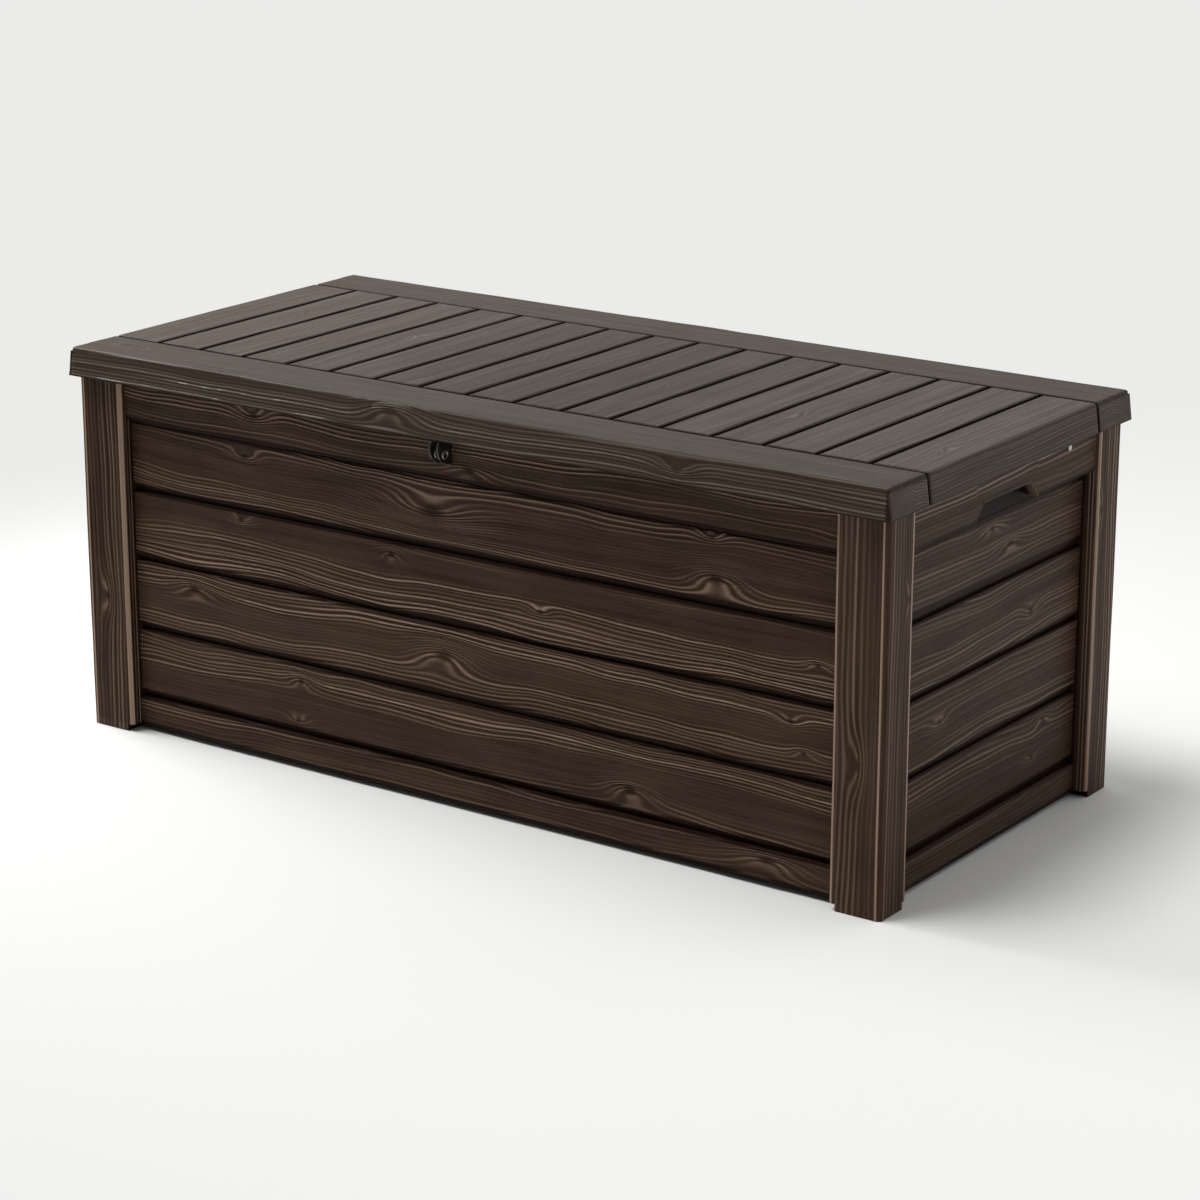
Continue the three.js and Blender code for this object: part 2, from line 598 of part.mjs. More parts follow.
// Hasp: two D-shaped ears side by side under the lid's front edge, one on the box and
// one on the lid, with holes in line for a padlock's shackle.
const earTip = -HALF_LID_Y - EAR_REACH;
const earTop = LID_BOTTOM - 1;
const plateY = -HALF_Y + FRONT_HEADER_DEPTH - FIT_GAP;
const holeAt = [earTip + SHACKLE_HOLE_BACK - 4, earTop - EAR_HEIGHT / 2 - 2];
function ear(rootY, x) {
  const shape = new THREE.Shape();
  const bottom = earTop - EAR_HEIGHT;
  shape.moveTo(rootY, earTop - 8);
  shape.lineTo(rootY, bottom);
  shape.bezierCurveTo(earTip + 14, bottom, earTip, bottom + 12, earTip, earTop - 12);
  shape.quadraticCurveTo(earTip, earTop - 4, earTip + 3, earTop);
  return prism('x', shape, x - EAR_THICKNESS / 2, x + EAR_THICKNESS / 2, [
    circlePath(holeAt[0], holeAt[1], SHACKLE_HOLE_RADIUS),
  ]);
}
const boxPlateLeft = LID_EAR_X - EAR_THICKNESS / 2 - 6;
const boxPlateRight = BOX_EAR_X + EAR_THICKNESS / 2;
add('hasp_box', union(
  block(boxPlateLeft, boxPlateRight, plateY - SHEET, plateY, earTop - EAR_HEIGHT - 4, earTop - 4),
  ear(plateY - SHEET / 2, BOX_EAR_X),
), MATERIALS.blackSteel);

const tabFace = (z) => -HALF_LID_Y + SKIN + lidInset(z) + FIT_GAP;
const tabLow = LID_BOTTOM + 2;
const tabHigh = LID_BOTTOM + 32;
const lidEarRoot = plateY - SHEET - 1.2;
add('hasp_lid', union(
  prism('x', [
    [tabFace(tabLow), tabLow], [tabFace(tabLow) + SHEET, tabLow],
    [tabFace(tabHigh) + SHEET, tabHigh], [tabFace(tabHigh), tabHigh],
  ], LID_EAR_X - HASP_TAB / 2, LID_EAR_X + HASP_TAB / 2),
  block(LID_EAR_X - EAR_THICKNESS / 2, LID_EAR_X + EAR_THICKNESS / 2,
    tabFace(tabHigh) + 1, lidEarRoot - 3, earTop - 12, tabHigh - 2),
  ear(lidEarRoot, LID_EAR_X),
), MATERIALS.blackSteel);

function screwHead(along, radius, from, to, centre) {
  return rod(along, radius, from, to, centre, 20);
}
const screwX = (LID_EAR_X + BOX_EAR_X) / 2;
[earTop - 12, earTop - EAR_HEIGHT + 4].forEach((z, i) => {
  const face = plateY - SHEET - FIT_GAP;
  add(`hasp_box_screw_${i + 1}`,
    screwHead('y', SCREW_HEAD_RADIUS - 1, face - SCREW_HEAD_HEIGHT, face, [screwX, z]),
    MATERIALS.zincSteel);
});
[-1, 1].forEach((side, i) => {
  const z = (tabLow + tabHigh) / 2;
  const face = tabFace(z) + SHEET + 1.2;
  add(`hasp_lid_screw_${i + 1}`,
    screwHead('y', SCREW_HEAD_RADIUS - 1, face, face + SCREW_HEAD_HEIGHT,
      [LID_EAR_X + side * (HASP_TAB / 2 - 6), z]),
    MATERIALS.zincSteel);
});

// Gas struts, one inside each end wall, and a screw near the top of each side header.
// The brackets keep clear of the top groove in the wall and of the lid's rear rail groove.
const topGroove = FIRST_GROOVE + (PLANKS - 1) * PLANK_PITCH;
const wallStud = [
  HINGE_Y - WALL_STUD_REACH, topGroove - GROOVE_WIDTH / 2 - SKIN - BRACKET_HALF - 3,
];
const lidStud = [
  RAIL_GROOVE_Y + RAIL_GROOVE_WIDTH / 2 + SKIN + BRACKET_HALF + 1, HINGE_Z + LID_STUD_RISE,
];
const strutLength = Math.hypot(lidStud[0] - wallStud[0], lidStud[1] - wallStud[1]);
const strutAngle = Math.atan2(lidStud[1] - wallStud[1], lidStud[0] - wallStud[0]);
const strutX = INNER_X - STRUT_INSET;

// A solid made along +Z from the wall stud is laid along the strut.
function alongStrut(geometry) {
  return geometry.rotateX(strutAngle - Math.PI / 2).translate(strutX, wallStud[0], wallStud[1]);
}

function strutSocket(centre, neckFrom, neckTo, inwardBore) {
  const half = SOCKET_WIDTH / 2;
  const disc = rod('x', SOCKET_RADIUS, strutX - half, strutX + half, centre, 32);
  const neck = alongStrut(rod('z', SOCKET_RADIUS - 3, neckFrom, neckTo, [0, 0], 24));
  const joined = union(disc, neck);
  if (!inwardBore) return joined;
  return subtract(joined, rod('x', STUD_RADIUS + PIVOT_GAP, strutX - half - 1, strutX + half + 1,
    centre, 32));
}

function strutPieces() {
  const cylinderFrom = SOCKET_RADIUS + 5;
  const cylinderTo = strutLength - CYLINDER_NECK;
  const bore = ROD_RADIUS + ROD_GAP;
  const cylinder = subtract(
    rod('z', CYLINDER_RADIUS, cylinderFrom, cylinderTo, [0, 0], 32),
    rod('z', bore, cylinderFrom + 12, cylinderTo + 1, [0, 0], 32),
  );
  const rodFrom = cylinderFrom + 16;
  const rodTo = strutLength - SOCKET_RADIUS - 6;
  const bracketFace = INNER_X - FIT_GAP;
  const plate = block(bracketFace - SHEET, bracketFace, wallStud[0] - BRACKET_HALF,
    wallStud[0] + BRACKET_HALF, wallStud[1] - BRACKET_HALF, wallStud[1] + BRACKET_HALF);
  const studFrom = strutX - SOCKET_WIDTH / 2 - 3;
  const stud = union(
    rod('x', STUD_RADIUS, studFrom, bracketFace - SHEET - FIT_GAP, wallStud, 32),
    rod('x', STUD_RADIUS + 2.5, studFrom - 2, studFrom + 2, wallStud, 32),
    rod('x', STUD_RADIUS + 2.5, strutX + SOCKET_WIDTH / 2 + 1, bracketFace - SHEET - FIT_GAP,
      wallStud, 32),
  );
  const hangTop = LID_CEILING - FIT_GAP;
  const hangX = strutX + SOCKET_WIDTH / 2 + OPEN_PIVOT_GAP + 5;
  const hanger = union(
    block(strutX - BRACKET_HALF, hangX + SHEET, lidStud[0] - BRACKET_HALF,
      lidStud[0] + BRACKET_HALF, hangTop - SHEET, hangTop),
    prism('x', [
      [lidStud[0] - SOCKET_RADIUS, lidStud[1] - 4], [lidStud[0] - 4, lidStud[1] - SOCKET_RADIUS],
      [lidStud[0] + 4, lidStud[1] - SOCKET_RADIUS], [lidStud[0] + SOCKET_RADIUS, lidStud[1] - 4],
      [lidStud[0] + BRACKET_HALF, hangTop - 1], [lidStud[0] - BRACKET_HALF, hangTop - 1],
    ], hangX, hangX + SHEET),
  );
  const lidStudPin = rod('x', STUD_RADIUS, strutX + SOCKET_WIDTH / 2 + OPEN_PIVOT_GAP,
    hangX - FIT_GAP, lidStud, 32);
  return {
    strut_wall_bracket: [plate, MATERIALS.blackSteel],
    strut_wall_stud: [stud, MATERIALS.zincSteel],
    strut_cylinder: [alongStrut(cylinder), MATERIALS.blackSteel],
    strut_lower_socket: [strutSocket(wallStud, 1, cylinderFrom - FIT_GAP, true),
      MATERIALS.blackPlastic],
    strut_rod: [alongStrut(rod('z', ROD_RADIUS, rodFrom, rodTo, [0, 0], 24)), MATERIALS.chrome],
    strut_upper_socket: [strutSocket(lidStud, rodTo + FIT_GAP, strutLength - 1, false),
      MATERIALS.blackPlastic],
    strut_lid_bracket: [hanger, MATERIALS.blackSteel],
    strut_lid_stud: [lidStudPin, MATERIALS.zincSteel],
    header_screw: [
      screwHead('x', SCREW_HEAD_RADIUS, HALF_X - SIDE_HEADER_DEPTH + FIT_GAP,
        HALF_X - SIDE_HEADER_DEPTH + FIT_GAP + SCREW_HEAD_HEIGHT,
        [HEADER_SCREW_Y, RIM_HEIGHT - HEADER_SCREW_DROP]),
      MATERIALS.zincSteel,
    ],
  };
}

for (const [sideName, signX] of [['right', 1], ['left', -1]]) {
  for (const [name, [geometry, material]] of Object.entries(strutPieces())) {
    add(`${name}_${sideName}`, mirrored(geometry, signX), material);
  }
}

export default group;
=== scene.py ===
import json
import math

import bpy
import numpy as np
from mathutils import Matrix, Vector


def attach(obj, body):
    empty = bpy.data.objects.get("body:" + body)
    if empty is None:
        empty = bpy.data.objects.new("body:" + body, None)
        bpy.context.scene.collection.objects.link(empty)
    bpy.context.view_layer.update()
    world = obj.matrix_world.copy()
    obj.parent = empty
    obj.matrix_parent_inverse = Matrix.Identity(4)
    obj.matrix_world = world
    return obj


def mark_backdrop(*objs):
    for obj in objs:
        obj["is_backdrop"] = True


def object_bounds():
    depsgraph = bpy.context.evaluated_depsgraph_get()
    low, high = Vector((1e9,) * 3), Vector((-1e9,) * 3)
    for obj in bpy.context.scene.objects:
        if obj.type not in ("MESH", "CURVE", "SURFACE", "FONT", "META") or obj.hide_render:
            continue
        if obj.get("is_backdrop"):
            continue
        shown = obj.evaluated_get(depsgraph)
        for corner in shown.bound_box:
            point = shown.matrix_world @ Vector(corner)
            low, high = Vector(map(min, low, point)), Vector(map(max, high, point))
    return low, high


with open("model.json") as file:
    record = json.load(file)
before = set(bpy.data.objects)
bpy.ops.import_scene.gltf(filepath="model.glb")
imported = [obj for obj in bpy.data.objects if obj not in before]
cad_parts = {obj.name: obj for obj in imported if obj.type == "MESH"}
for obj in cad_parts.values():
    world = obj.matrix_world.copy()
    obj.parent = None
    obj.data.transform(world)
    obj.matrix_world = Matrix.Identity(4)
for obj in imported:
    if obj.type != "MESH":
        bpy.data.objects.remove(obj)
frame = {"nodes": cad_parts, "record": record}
nodes = frame["nodes"]
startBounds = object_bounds()
print("frame loaded")

# Box measurements in millimetres, shared by the boards below.
size = {
    "halfX": 765, "halfY": 349, "lidHalfX": 775, "lidHalfY": 366,
    "lidBottom": 600, "lidTop": 646, "lidFlare": 6,
    "postX": 86, "postY": 72, "plankDepth": 26, "railDepth": 22,
    "frontHeaderDepth": 12, "sideHeaderDepth": 7, "longHalf": 677.4, "shortHalf": 275.4,
    "panelBottom": 9, "grooves": (63, 181, 299, 417), "groove": 8,
    "headerBottom": 535, "headerGap": 7, "rimTop": 609, "edgeTurn": 3.0, "edgeRadius": 2.9,
    "slats": 17, "slatPitch": 90, "slatGroove": 9, "railInner": 258, "slatEnd": 253,
    "pocketBase": 186, "pocketTop": 138, "pocketHeight": 26,
}
axes = {"x": np.array((1.0, 0, 0)), "y": np.array((0, 1.0, 0)), "z": np.array((0, 0, 1.0))}


# Grain
def hash01(ix, iy, seed):
    n = np.sin(ix * 127.1 + iy * 311.7 + seed * 74.7) * 43758.5453
    return n - np.floor(n)


def noise(x, y, seed):
    ix, iy = np.floor(x), np.floor(y)
    fx, fy = x - ix, y - iy
    fx, fy = fx * fx * (3 - 2 * fx), fy * fy * (3 - 2 * fy)
    low = hash01(ix, iy, seed) * (1 - fx) + hash01(ix + 1, iy, seed) * fx
    high = hash01(ix, iy + 1, seed) * (1 - fx) + hash01(ix + 1, iy + 1, seed) * fx
    return low * (1 - fy) + high * fy


# Raised wood grain: thin ridges that wander along the board, part around knots and
# fade in and out. u runs along the grain and v across it, in millimetres.
grainDefaults = {
    "spacing": 7.5, "height": 2.4, "waves": ((520, 12.0), (180, 7.5), (70, 2.4)),
    "knots": (), "zones": ((-1e4, 1e4, 1.0),), "calm": 0.1, "sharp": 0.75,
    "swell": 2.0, "fade": 240, "seed": 1, "bands": (), "ovals": (),
}


def grainRelief(u, v, grain):
    g = {**grainDefaults, **grain}
    seed = g["seed"]
    w = v + 0 * u
    for wavelength, amount in g["waves"]:
        w = w + 2 * amount * (noise(u / wavelength + 9.1, v / (0.35 * wavelength), seed + amount) - 0.5)
    eye = np.zeros_like(w)
    core = np.zeros_like(w)
    for ku, kv, radius, stretch in g["knots"]:
        # a hump in the field the ridges follow closes them into rings about the knot
        dv, du = (v - kv) / radius, (u - ku) / (radius * stretch)
        far = (du / 2.3) ** 2 + (dv / 1.5) ** 2
        hump = 1 if hash01(ku, kv, seed) > 0.5 else -1
        w = w + hump * 2.3 * radius * np.exp(-0.5 * far)
        eye = np.maximum(eye, np.exp(-far / 3.4))
        core = np.maximum(core, np.clip(1.5 - 1.5 * np.hypot(du, dv), 0, 1))
    p = w / g["spacing"]
    cell = np.floor(p)
    centre = 0.38 + 0.3 * hash01(cell, 0 * cell, seed + 11)
    width = 0.18 + 0.08 * hash01(cell, 0 * cell + 1, seed + 12)
    strength = noise(u / g["fade"] + cell * 5.31, cell * 1.73, seed + 13)
    strength = np.clip((strength + 0.12) * 1.9, 0, 1) * (0.45 + 0.55 * hash01(cell, 0 * cell + 2, seed + 14))
    f = p - cell - centre
    side = np.where(f > 0, g["sharp"], 1.25)
    ridge = np.exp(-(f / (width * side)) ** 2)
    zone = np.full_like(w, g["calm"])
    for low, high, amount in g["zones"]:
        soft = 9.0
        inZone = np.clip((w - low) / soft + 0.5, 0, 1) * np.clip((high - w) / soft + 0.5, 0, 1)
        zone = np.maximum(zone, amount * inZone)
    zone = np.maximum(zone, 0.8 * eye)
    strength = np.maximum(strength, 0.75 * eye)
    # the crest mask lightens the colour on ridge tops in the shader: a painted highlight; the small negative
    # share at knot cores is the knots' own dark colour
    crest = ridge * strength * zone * (1 - 0.8 * core) - 0.12 * core
    swell = g["swell"] * noise(u / 110, w / 15, seed + 21) ** 1.5 * (1 - 0.6 * zone)
    height = g["height"] * crest + swell
    for ku, kv, halfU, halfV in g["ovals"]:
        rho = np.hypot((u - ku) / halfU, (v - kv) / halfV)
        rim = np.exp(-((rho - 1) * halfV / 1.6) ** 2)
        inside = np.clip((1.05 - rho) / 0.1, 0, 1)
        height = height * (1 - inside) + 0.9 * rim
        # the oval's rim gets a painted highlight through the crest mask
        crest = np.maximum(crest * (1 - inside), 0.35 * rim)
    # bands lift the crest mask in strips: painted highlights
    for low, high, amount in g["bands"]:
        band = np.clip((v - low) / 1.0, 0, 1) * np.clip((high - v) / 1.0, 0, 1)
        crest = np.maximum(crest, amount * band)
    return height, crest


# Board meshes
# Points and outward normals along a path whose corners are rounded.
def filleted(path, radii, out, axis, step):
    path = [np.array(p, float) for p in path]
    points = [path[0]]
    for i in range(1, len(path) - 1):
        a = path[i - 1] - path[i]
        b = path[i + 1] - path[i]
        a, b = a / np.linalg.norm(a), b / np.linalg.norm(b)
        theta = math.acos(max(-1, min(1, float(a @ b))))
        reach = radii[i - 1] / math.tan(theta / 2)
        middle = (a + b) / np.linalg.norm(a + b)
        centre = path[i] + middle * radii[i - 1] / math.sin(theta / 2)
        start, end = path[i] + a * reach - centre, path[i] + b * reach - centre
        phi = math.pi - theta
        for k in range(6):
            t = k / 5
            swing = math.sin((1 - t) * phi) * start + math.sin(t * phi) * end
            points.append(centre + swing / math.sin(phi))
    points.append(path[-1])
    dense = [points[0]]
    for a, b in zip(points, points[1:]):
        length = np.linalg.norm(b - a)
        count = max(1, int(math.ceil(length / step)))
        dense += [a + (b - a) * k / count for k in range(1, count + 1)]
    dense = np.array(dense)
    along = np.concatenate([[0], np.cumsum(np.linalg.norm(np.diff(dense, axis=0), axis=1))])
    tangent = np.gradient(dense, along, axis=0)
    tangent /= np.linalg.norm(tangent, axis=1)[:, None]
    normal = np.cross(axes[axis], tangent)
    mid = len(dense) // 2
    if normal[mid] @ np.array(out, float) < 0:
        normal = -normal
    return along, dense, normal


# Builds a mesh from arrays. Quads is n by 4, polys is a list of longer faces.
def meshFromFaces(name, verts, quads, polys, attributes):
    mesh = bpy.data.meshes.new(name)
    sizes = np.concatenate([np.full(len(quads), 4), [len(p) for p in polys]]).astype(np.int32)
    flat = np.concatenate([quads.ravel()] + [np.array(p) for p in polys]).astype(np.int32)
    mesh.vertices.add(len(verts))
    mesh.vertices.foreach_set("co", np.ascontiguousarray(verts / 1000, np.float32).ravel())
    mesh.loops.add(len(flat))
    mesh.loops.foreach_set("vertex_index", flat)
    mesh.polygons.add(len(sizes))
    starts = np.concatenate([[0], np.cumsum(sizes)[:-1]]).astype(np.int32)
    mesh.polygons.foreach_set("loop_start", starts)
    mesh.polygons.foreach_set("loop_total", sizes)
    mesh.polygons.foreach_set("use_smooth", np.ones(len(sizes), bool))
    mesh.update(calc_edges=True)
    mesh.validate()
    for key, values in attributes.items():
        kind = "FLOAT" if values.ndim == 1 else "FLOAT_VECTOR"
        layer = mesh.attributes.new(key, kind, "POINT")
        field = "value" if values.ndim == 1 else "vector"
        layer.data.foreach_set(field, np.ascontiguousarray(values, np.float32).ravel())
    mesh.set_sharp_from_angle(angle=math.radians(70))
    obj = bpy.data.objects.new(name, mesh)
    bpy.context.scene.collection.objects.link(obj)
    return obj


def uSamples(uRange, step, knots):
    low, high = uRange
    values = set(np.round(np.linspace(low, high, max(2, int((high - low) / step) + 1)), 3))
    for edge, sign in ((low, 1), (high, -1)):
        values.update(round(edge + sign * d, 3) for d in (0.6, 1.4, 2.6))
    for knot in knots:
        spread = knot[2] * knot[3] * 1.8
        for d in np.arange(-spread, spread, 1.8):
            if low < knot[0] + d < high:
                values.add(round(knot[0] + d, 3))
    ordered = sorted(values)
    kept = [ordered[0]]
    for value in ordered[1:]:
        if value - kept[-1] > 0.5:
            kept.append(value)
    kept[-1] = ordered[-1]
    return np.array(kept)


boardDefaults = {
    "lift": 0.5, "thick": 2.4, "stepV": 0.88, "stepU": 6.0, "fadeV": 3.0, "endDrop": 0.0,
    "endRadius": 3.0, "low": None, "wander": 0.0, "shiftV": 0.0,
    "tone": 0.0, "shade": 0.0,
}
allBoards = []


def board(name, body, slot, axis, out, path, radii, uRange, grain, **options):
    o = {**boardDefaults, **options}
    stepV, stepU = ((o["stepV"], o["stepU"]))
    along, points, normals = filleted(path, radii, out, axis, stepV)
    total = along[-1]
    us = uSamples(uRange, stepU, grain.get("knots", ()))
    nU, nV = len(us), len(along)
    uu, ss = np.meshgrid(us, along, indexing="ij")
    if o["low"] is not None:
        start = np.array([o["low"](u) for u in us])[:, None]
        ss = start + (total - start) * ss / total
    relief, crest = grainRelief(uu, ss + o["shiftV"], grain)
    fade = np.clip(np.minimum(ss - ss[:, :1], total - ss) / o["fadeV"], 0, 1)
    fade = fade * fade * (3 - 2 * fade)
    height = o["lift"] + relief * fade
    if o["endDrop"]:
        edge = np.minimum(uu - uRange[0], uRange[1] - uu)
        t = np.clip(1 - edge / o["endRadius"], 0, 1)
        height = height - o["endDrop"] * (1 - np.sqrt(1 - t * t * 0.999))
    place = np.stack([np.interp(ss, along, points[:, k]) for k in range(3)], -1)
    normal = np.stack([np.interp(ss, along, normals[:, k]) for k in range(3)], -1)
    if o["wander"]:
        # the board's sides wander a little, like sawn edges
        across = np.cross(axes[axis], np.array(out, float))
        shift = (noise(us / 90, 0 * us, grain["seed"] + 31) - 0.5) * 2 * o["wander"]
        place = place + shift[:, None, None] * across
    outer = place + axes[axis] * uu[..., None] + normal * height[..., None]
    inner = np.stack([place[i] + axes[axis] * us[i] - normal[i] * o["thick"] for i in (0, -1)])
    verts = np.concatenate([outer.reshape(-1, 3), inner.reshape(-1, 3)])
    index = np.arange(nU * nV).reshape(nU, nV)
    back = nU * nV + np.arange(2 * nV).reshape(2, nV)
    quads = np.concatenate([
        np.stack([index[:-1, :-1], index[1:, :-1], index[1:, 1:], index[:-1, 1:]], -1).reshape(-1, 4),
        np.stack([back[0, :-1], back[0, 1:], back[1, 1:], back[1, :-1]], -1),
        np.stack([index[0, :-1], index[0, 1:], back[0, 1:], back[0, :-1]], -1),
        np.stack([index[-1, 1:], index[-1, :-1], back[1, :-1], back[1, 1:]], -1),
    ])
    walls = [
        list(index[::-1, 0]) + [back[0, 0], back[1, 0]],
        list(index[:, -1]) + [back[1, -1], back[0, -1]],
    ]
    midU, midV = nU // 2, nV // 2
    a, b, c = outer[midU, midV], outer[midU + 1 if nU > 2 else 1, midV], outer[midU, midV + 1]
    if np.cross(b - a, c - a) @ normal[midU, midV] < 0:
        quads = quads[:, ::-1]
        walls = [wall[::-1] for wall in walls]
    count = len(verts)
    grainUv = np.zeros((count, 3))
    grainUv[:nU * nV, 0], grainUv[:nU * nV, 1] = uu.ravel(), ss.ravel()
    grainUv[nU * nV:, 0] = np.repeat([us[0], us[-1]], nV)
    grainUv[nU * nV:, 1] = np.tile(along, 2)
    grainUv[:, 2] = 173.0 * grain["seed"]
    crestAll = np.zeros(count)
    # a negative offset here darkens the whole board: painted shade
    crest = crest * fade + o["tone"]
    if o["shade"]:
        # painted shade: the colour darkens along the grooves beside the board
        crest = crest - 0.9 * np.clip(1.25 - np.minimum(ss - ss[:, :1], total - ss) / o["shade"], 0, 1)
    crestAll[:nU * nV] = np.clip(crest, -1, 1.6).ravel()
    obj = meshFromFaces(name, verts, quads, walls, {"grainUv": grainUv / 1000, "crest": crestAll})
    obj["slotName"] = slot
    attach(obj, body)
    allBoards.append(obj)
    return obj


# Long panels, front and rear
frontBoards = {
    "plank_1": {
        "seed": 3, "spacing": 5.8,
        "knots": ((-436, 83, 7, 1.5), (-60, 52, 14, 2.4), (454, 97, 5, 1.5), (463, 33, 11, 1.6)),
        "zones": ((88, 200, 1.0), (-40, 34, 0.8)), "calm": 0.16,
    },
    "plank_2": {
        "seed": 8, "spacing": 6.0,
        "knots": ((-447, 95, 6, 1.5), (-140, 88, 6, 1.4), (146, 46, 5, 1.5), (639, 52, 5, 1.5)),
        "zones": ((-30, 62, 1.0), (102, 200, 0.5)), "calm": 0.12,
    },
    "plank_3": {
        "seed": 14, "spacing": 6.2,
        "knots": ((-553, 78, 8, 1.8), (-39, 59, 13, 1.6), (594, 78, 6, 1.3), (617, 33, 4.5, 1.4)),
        "zones": ((-40, 44, 0.8), (78, 200, 1.0)), "calm": 0.2,
    },
    "plank_4": {
        "seed": 21, "spacing": 6.0,
        "knots": ((-330, 80, 6, 1.4), (-337, 14, 5, 1.5), (312, 30, 10, 1.5)),
        "zones": ((62, 200, 1.0), (-40, 10, 0.6)), "calm": 0.14,
    },
    "rail": {
        "seed": 27, "spacing": 6.4,
        "knots": ((560, 30, 8, 2.6),),
        "zones": ((38, 200, 0.9), (-40, 12, 0.5)), "calm": 0.22,
    },
}


# The lower and upper edge of a board in a wall, and how far its face lies behind the posts.
def wallBoard(key):
    gap = size["groove"] / 2
    if key == "rail":
        return size["panelBottom"], size["grooves"][0] - gap, size["railDepth"]
    course = len(size["grooves"]) - int(key[-1])  # plank_1 is the highest
    high = size["headerBottom"] - size["headerGap"]
    if course + 1 < len(size["grooves"]):
        high = size["grooves"][course + 1] - gap
    return size["grooves"][course] + gap, high, size["plankDepth"]


def longBoards(side, sign):
    mirrorSeed = 0 if side == "front" else 100
    along = (-size["longHalf"], size["longHalf"])
    for key, spec in frontBoards.items():
        flip = -1 if side == "rear" else 1
        knots = tuple((flip * k[0], k[1] + 3, k[2], k[3]) for k in spec["knots"])
        grain = {**spec, "knots": knots, "seed": spec["seed"] + mirrorSeed}
        low, high, depth = wallBoard(key)
        y = sign * (size["halfY"] - depth)
        turn = size["edgeTurn"]
        path = [(0, y - sign * turn, low), (0, y, low), (0, y, high)]
        radii = [size["edgeRadius"]]
        path.append((0, y - sign * turn, high))
        radii.append(size["edgeRadius"])
        if key == "rail":
            path, radii = path[1:], radii[1:]
        board(f"{side}_{key}", "box", "box_resin", "x", (0, sign, 0), path, radii, along, grain,
              shade=6.0)
    header = {
        "spacing": 6.2, "seed": 33 + mirrorSeed, "knots": ((-402, 47, 8, 1.6), (25, 22, 7, 2.4)),
        "zones": ((42, 200, 1.0), (14, 28, 0.55)), "calm": 0.12,
    }
    y = sign * (size["halfY"] - size["frontHeaderDepth"])
    low, high, turn = size["headerBottom"], size["rimTop"], size["edgeTurn"]
    path = [(0, y - sign * turn, low), (0, y, low), (0, y, high)]
    board(f"{side}_header", "box", "box_resin", "x", (0, sign, 0), path, [size["edgeRadius"]], along,
          header, shade=6.0)


longBoards("front", -1)
longBoards("rear", 1)
print("front and rear boards made")

# Side panels with their handle pocket
sideBoards = {
    "plank_1": {
        "seed": 43, "spacing": 8.0, "height": 1.1,
        "knots": ((-7, 85, 6, 2.0), (50, 49, 6, 2.0)), "zones": ((20, 70, 0.5), (92, 200, 0.5)), "calm": 0.14,
    },
    "plank_2": {
        "seed": 48, "spacing": 7.4, "height": 1.1,
        "knots": ((122, 43, 8, 1.2),), "zones": ((-30, 60, 0.55), (84, 200, 0.6)), "calm": 0.14,
        "waves": ((260, 13.0), (110, 5.0), (60, 1.4)),
    },
    "plank_3": {
        "seed": 52, "spacing": 8.2, "height": 1.1,
        "knots": ((-150, 60, 6, 1.6),), "zones": ((-30, 40, 0.5), (70, 200, 0.5)), "calm": 0.14,
    },
    "plank_4": {
        "seed": 57, "spacing": 7.8, "height": 1.1,
        "knots": ((174, 93, 6, 1.4), (140, 40, 5, 1.5)), "zones": ((50, 200, 0.55),), "calm": 0.14,
    },
    "rail": {
        "seed": 63, "spacing": 8.0, "height": 0.7,
        "knots": (), "zones": ((30, 200, 0.5),), "calm": 0.25,
    },
}


# How far the pocket cuts up into the header at a place along it.
def pocketRise(position):
    slope = (size["pocketBase"] - size["pocketTop"]) / 2 / size["pocketHeight"]
    inward = size["pocketBase"] / 2 - abs(position)
    return max(0.0, min(size["pocketHeight"], inward / slope))


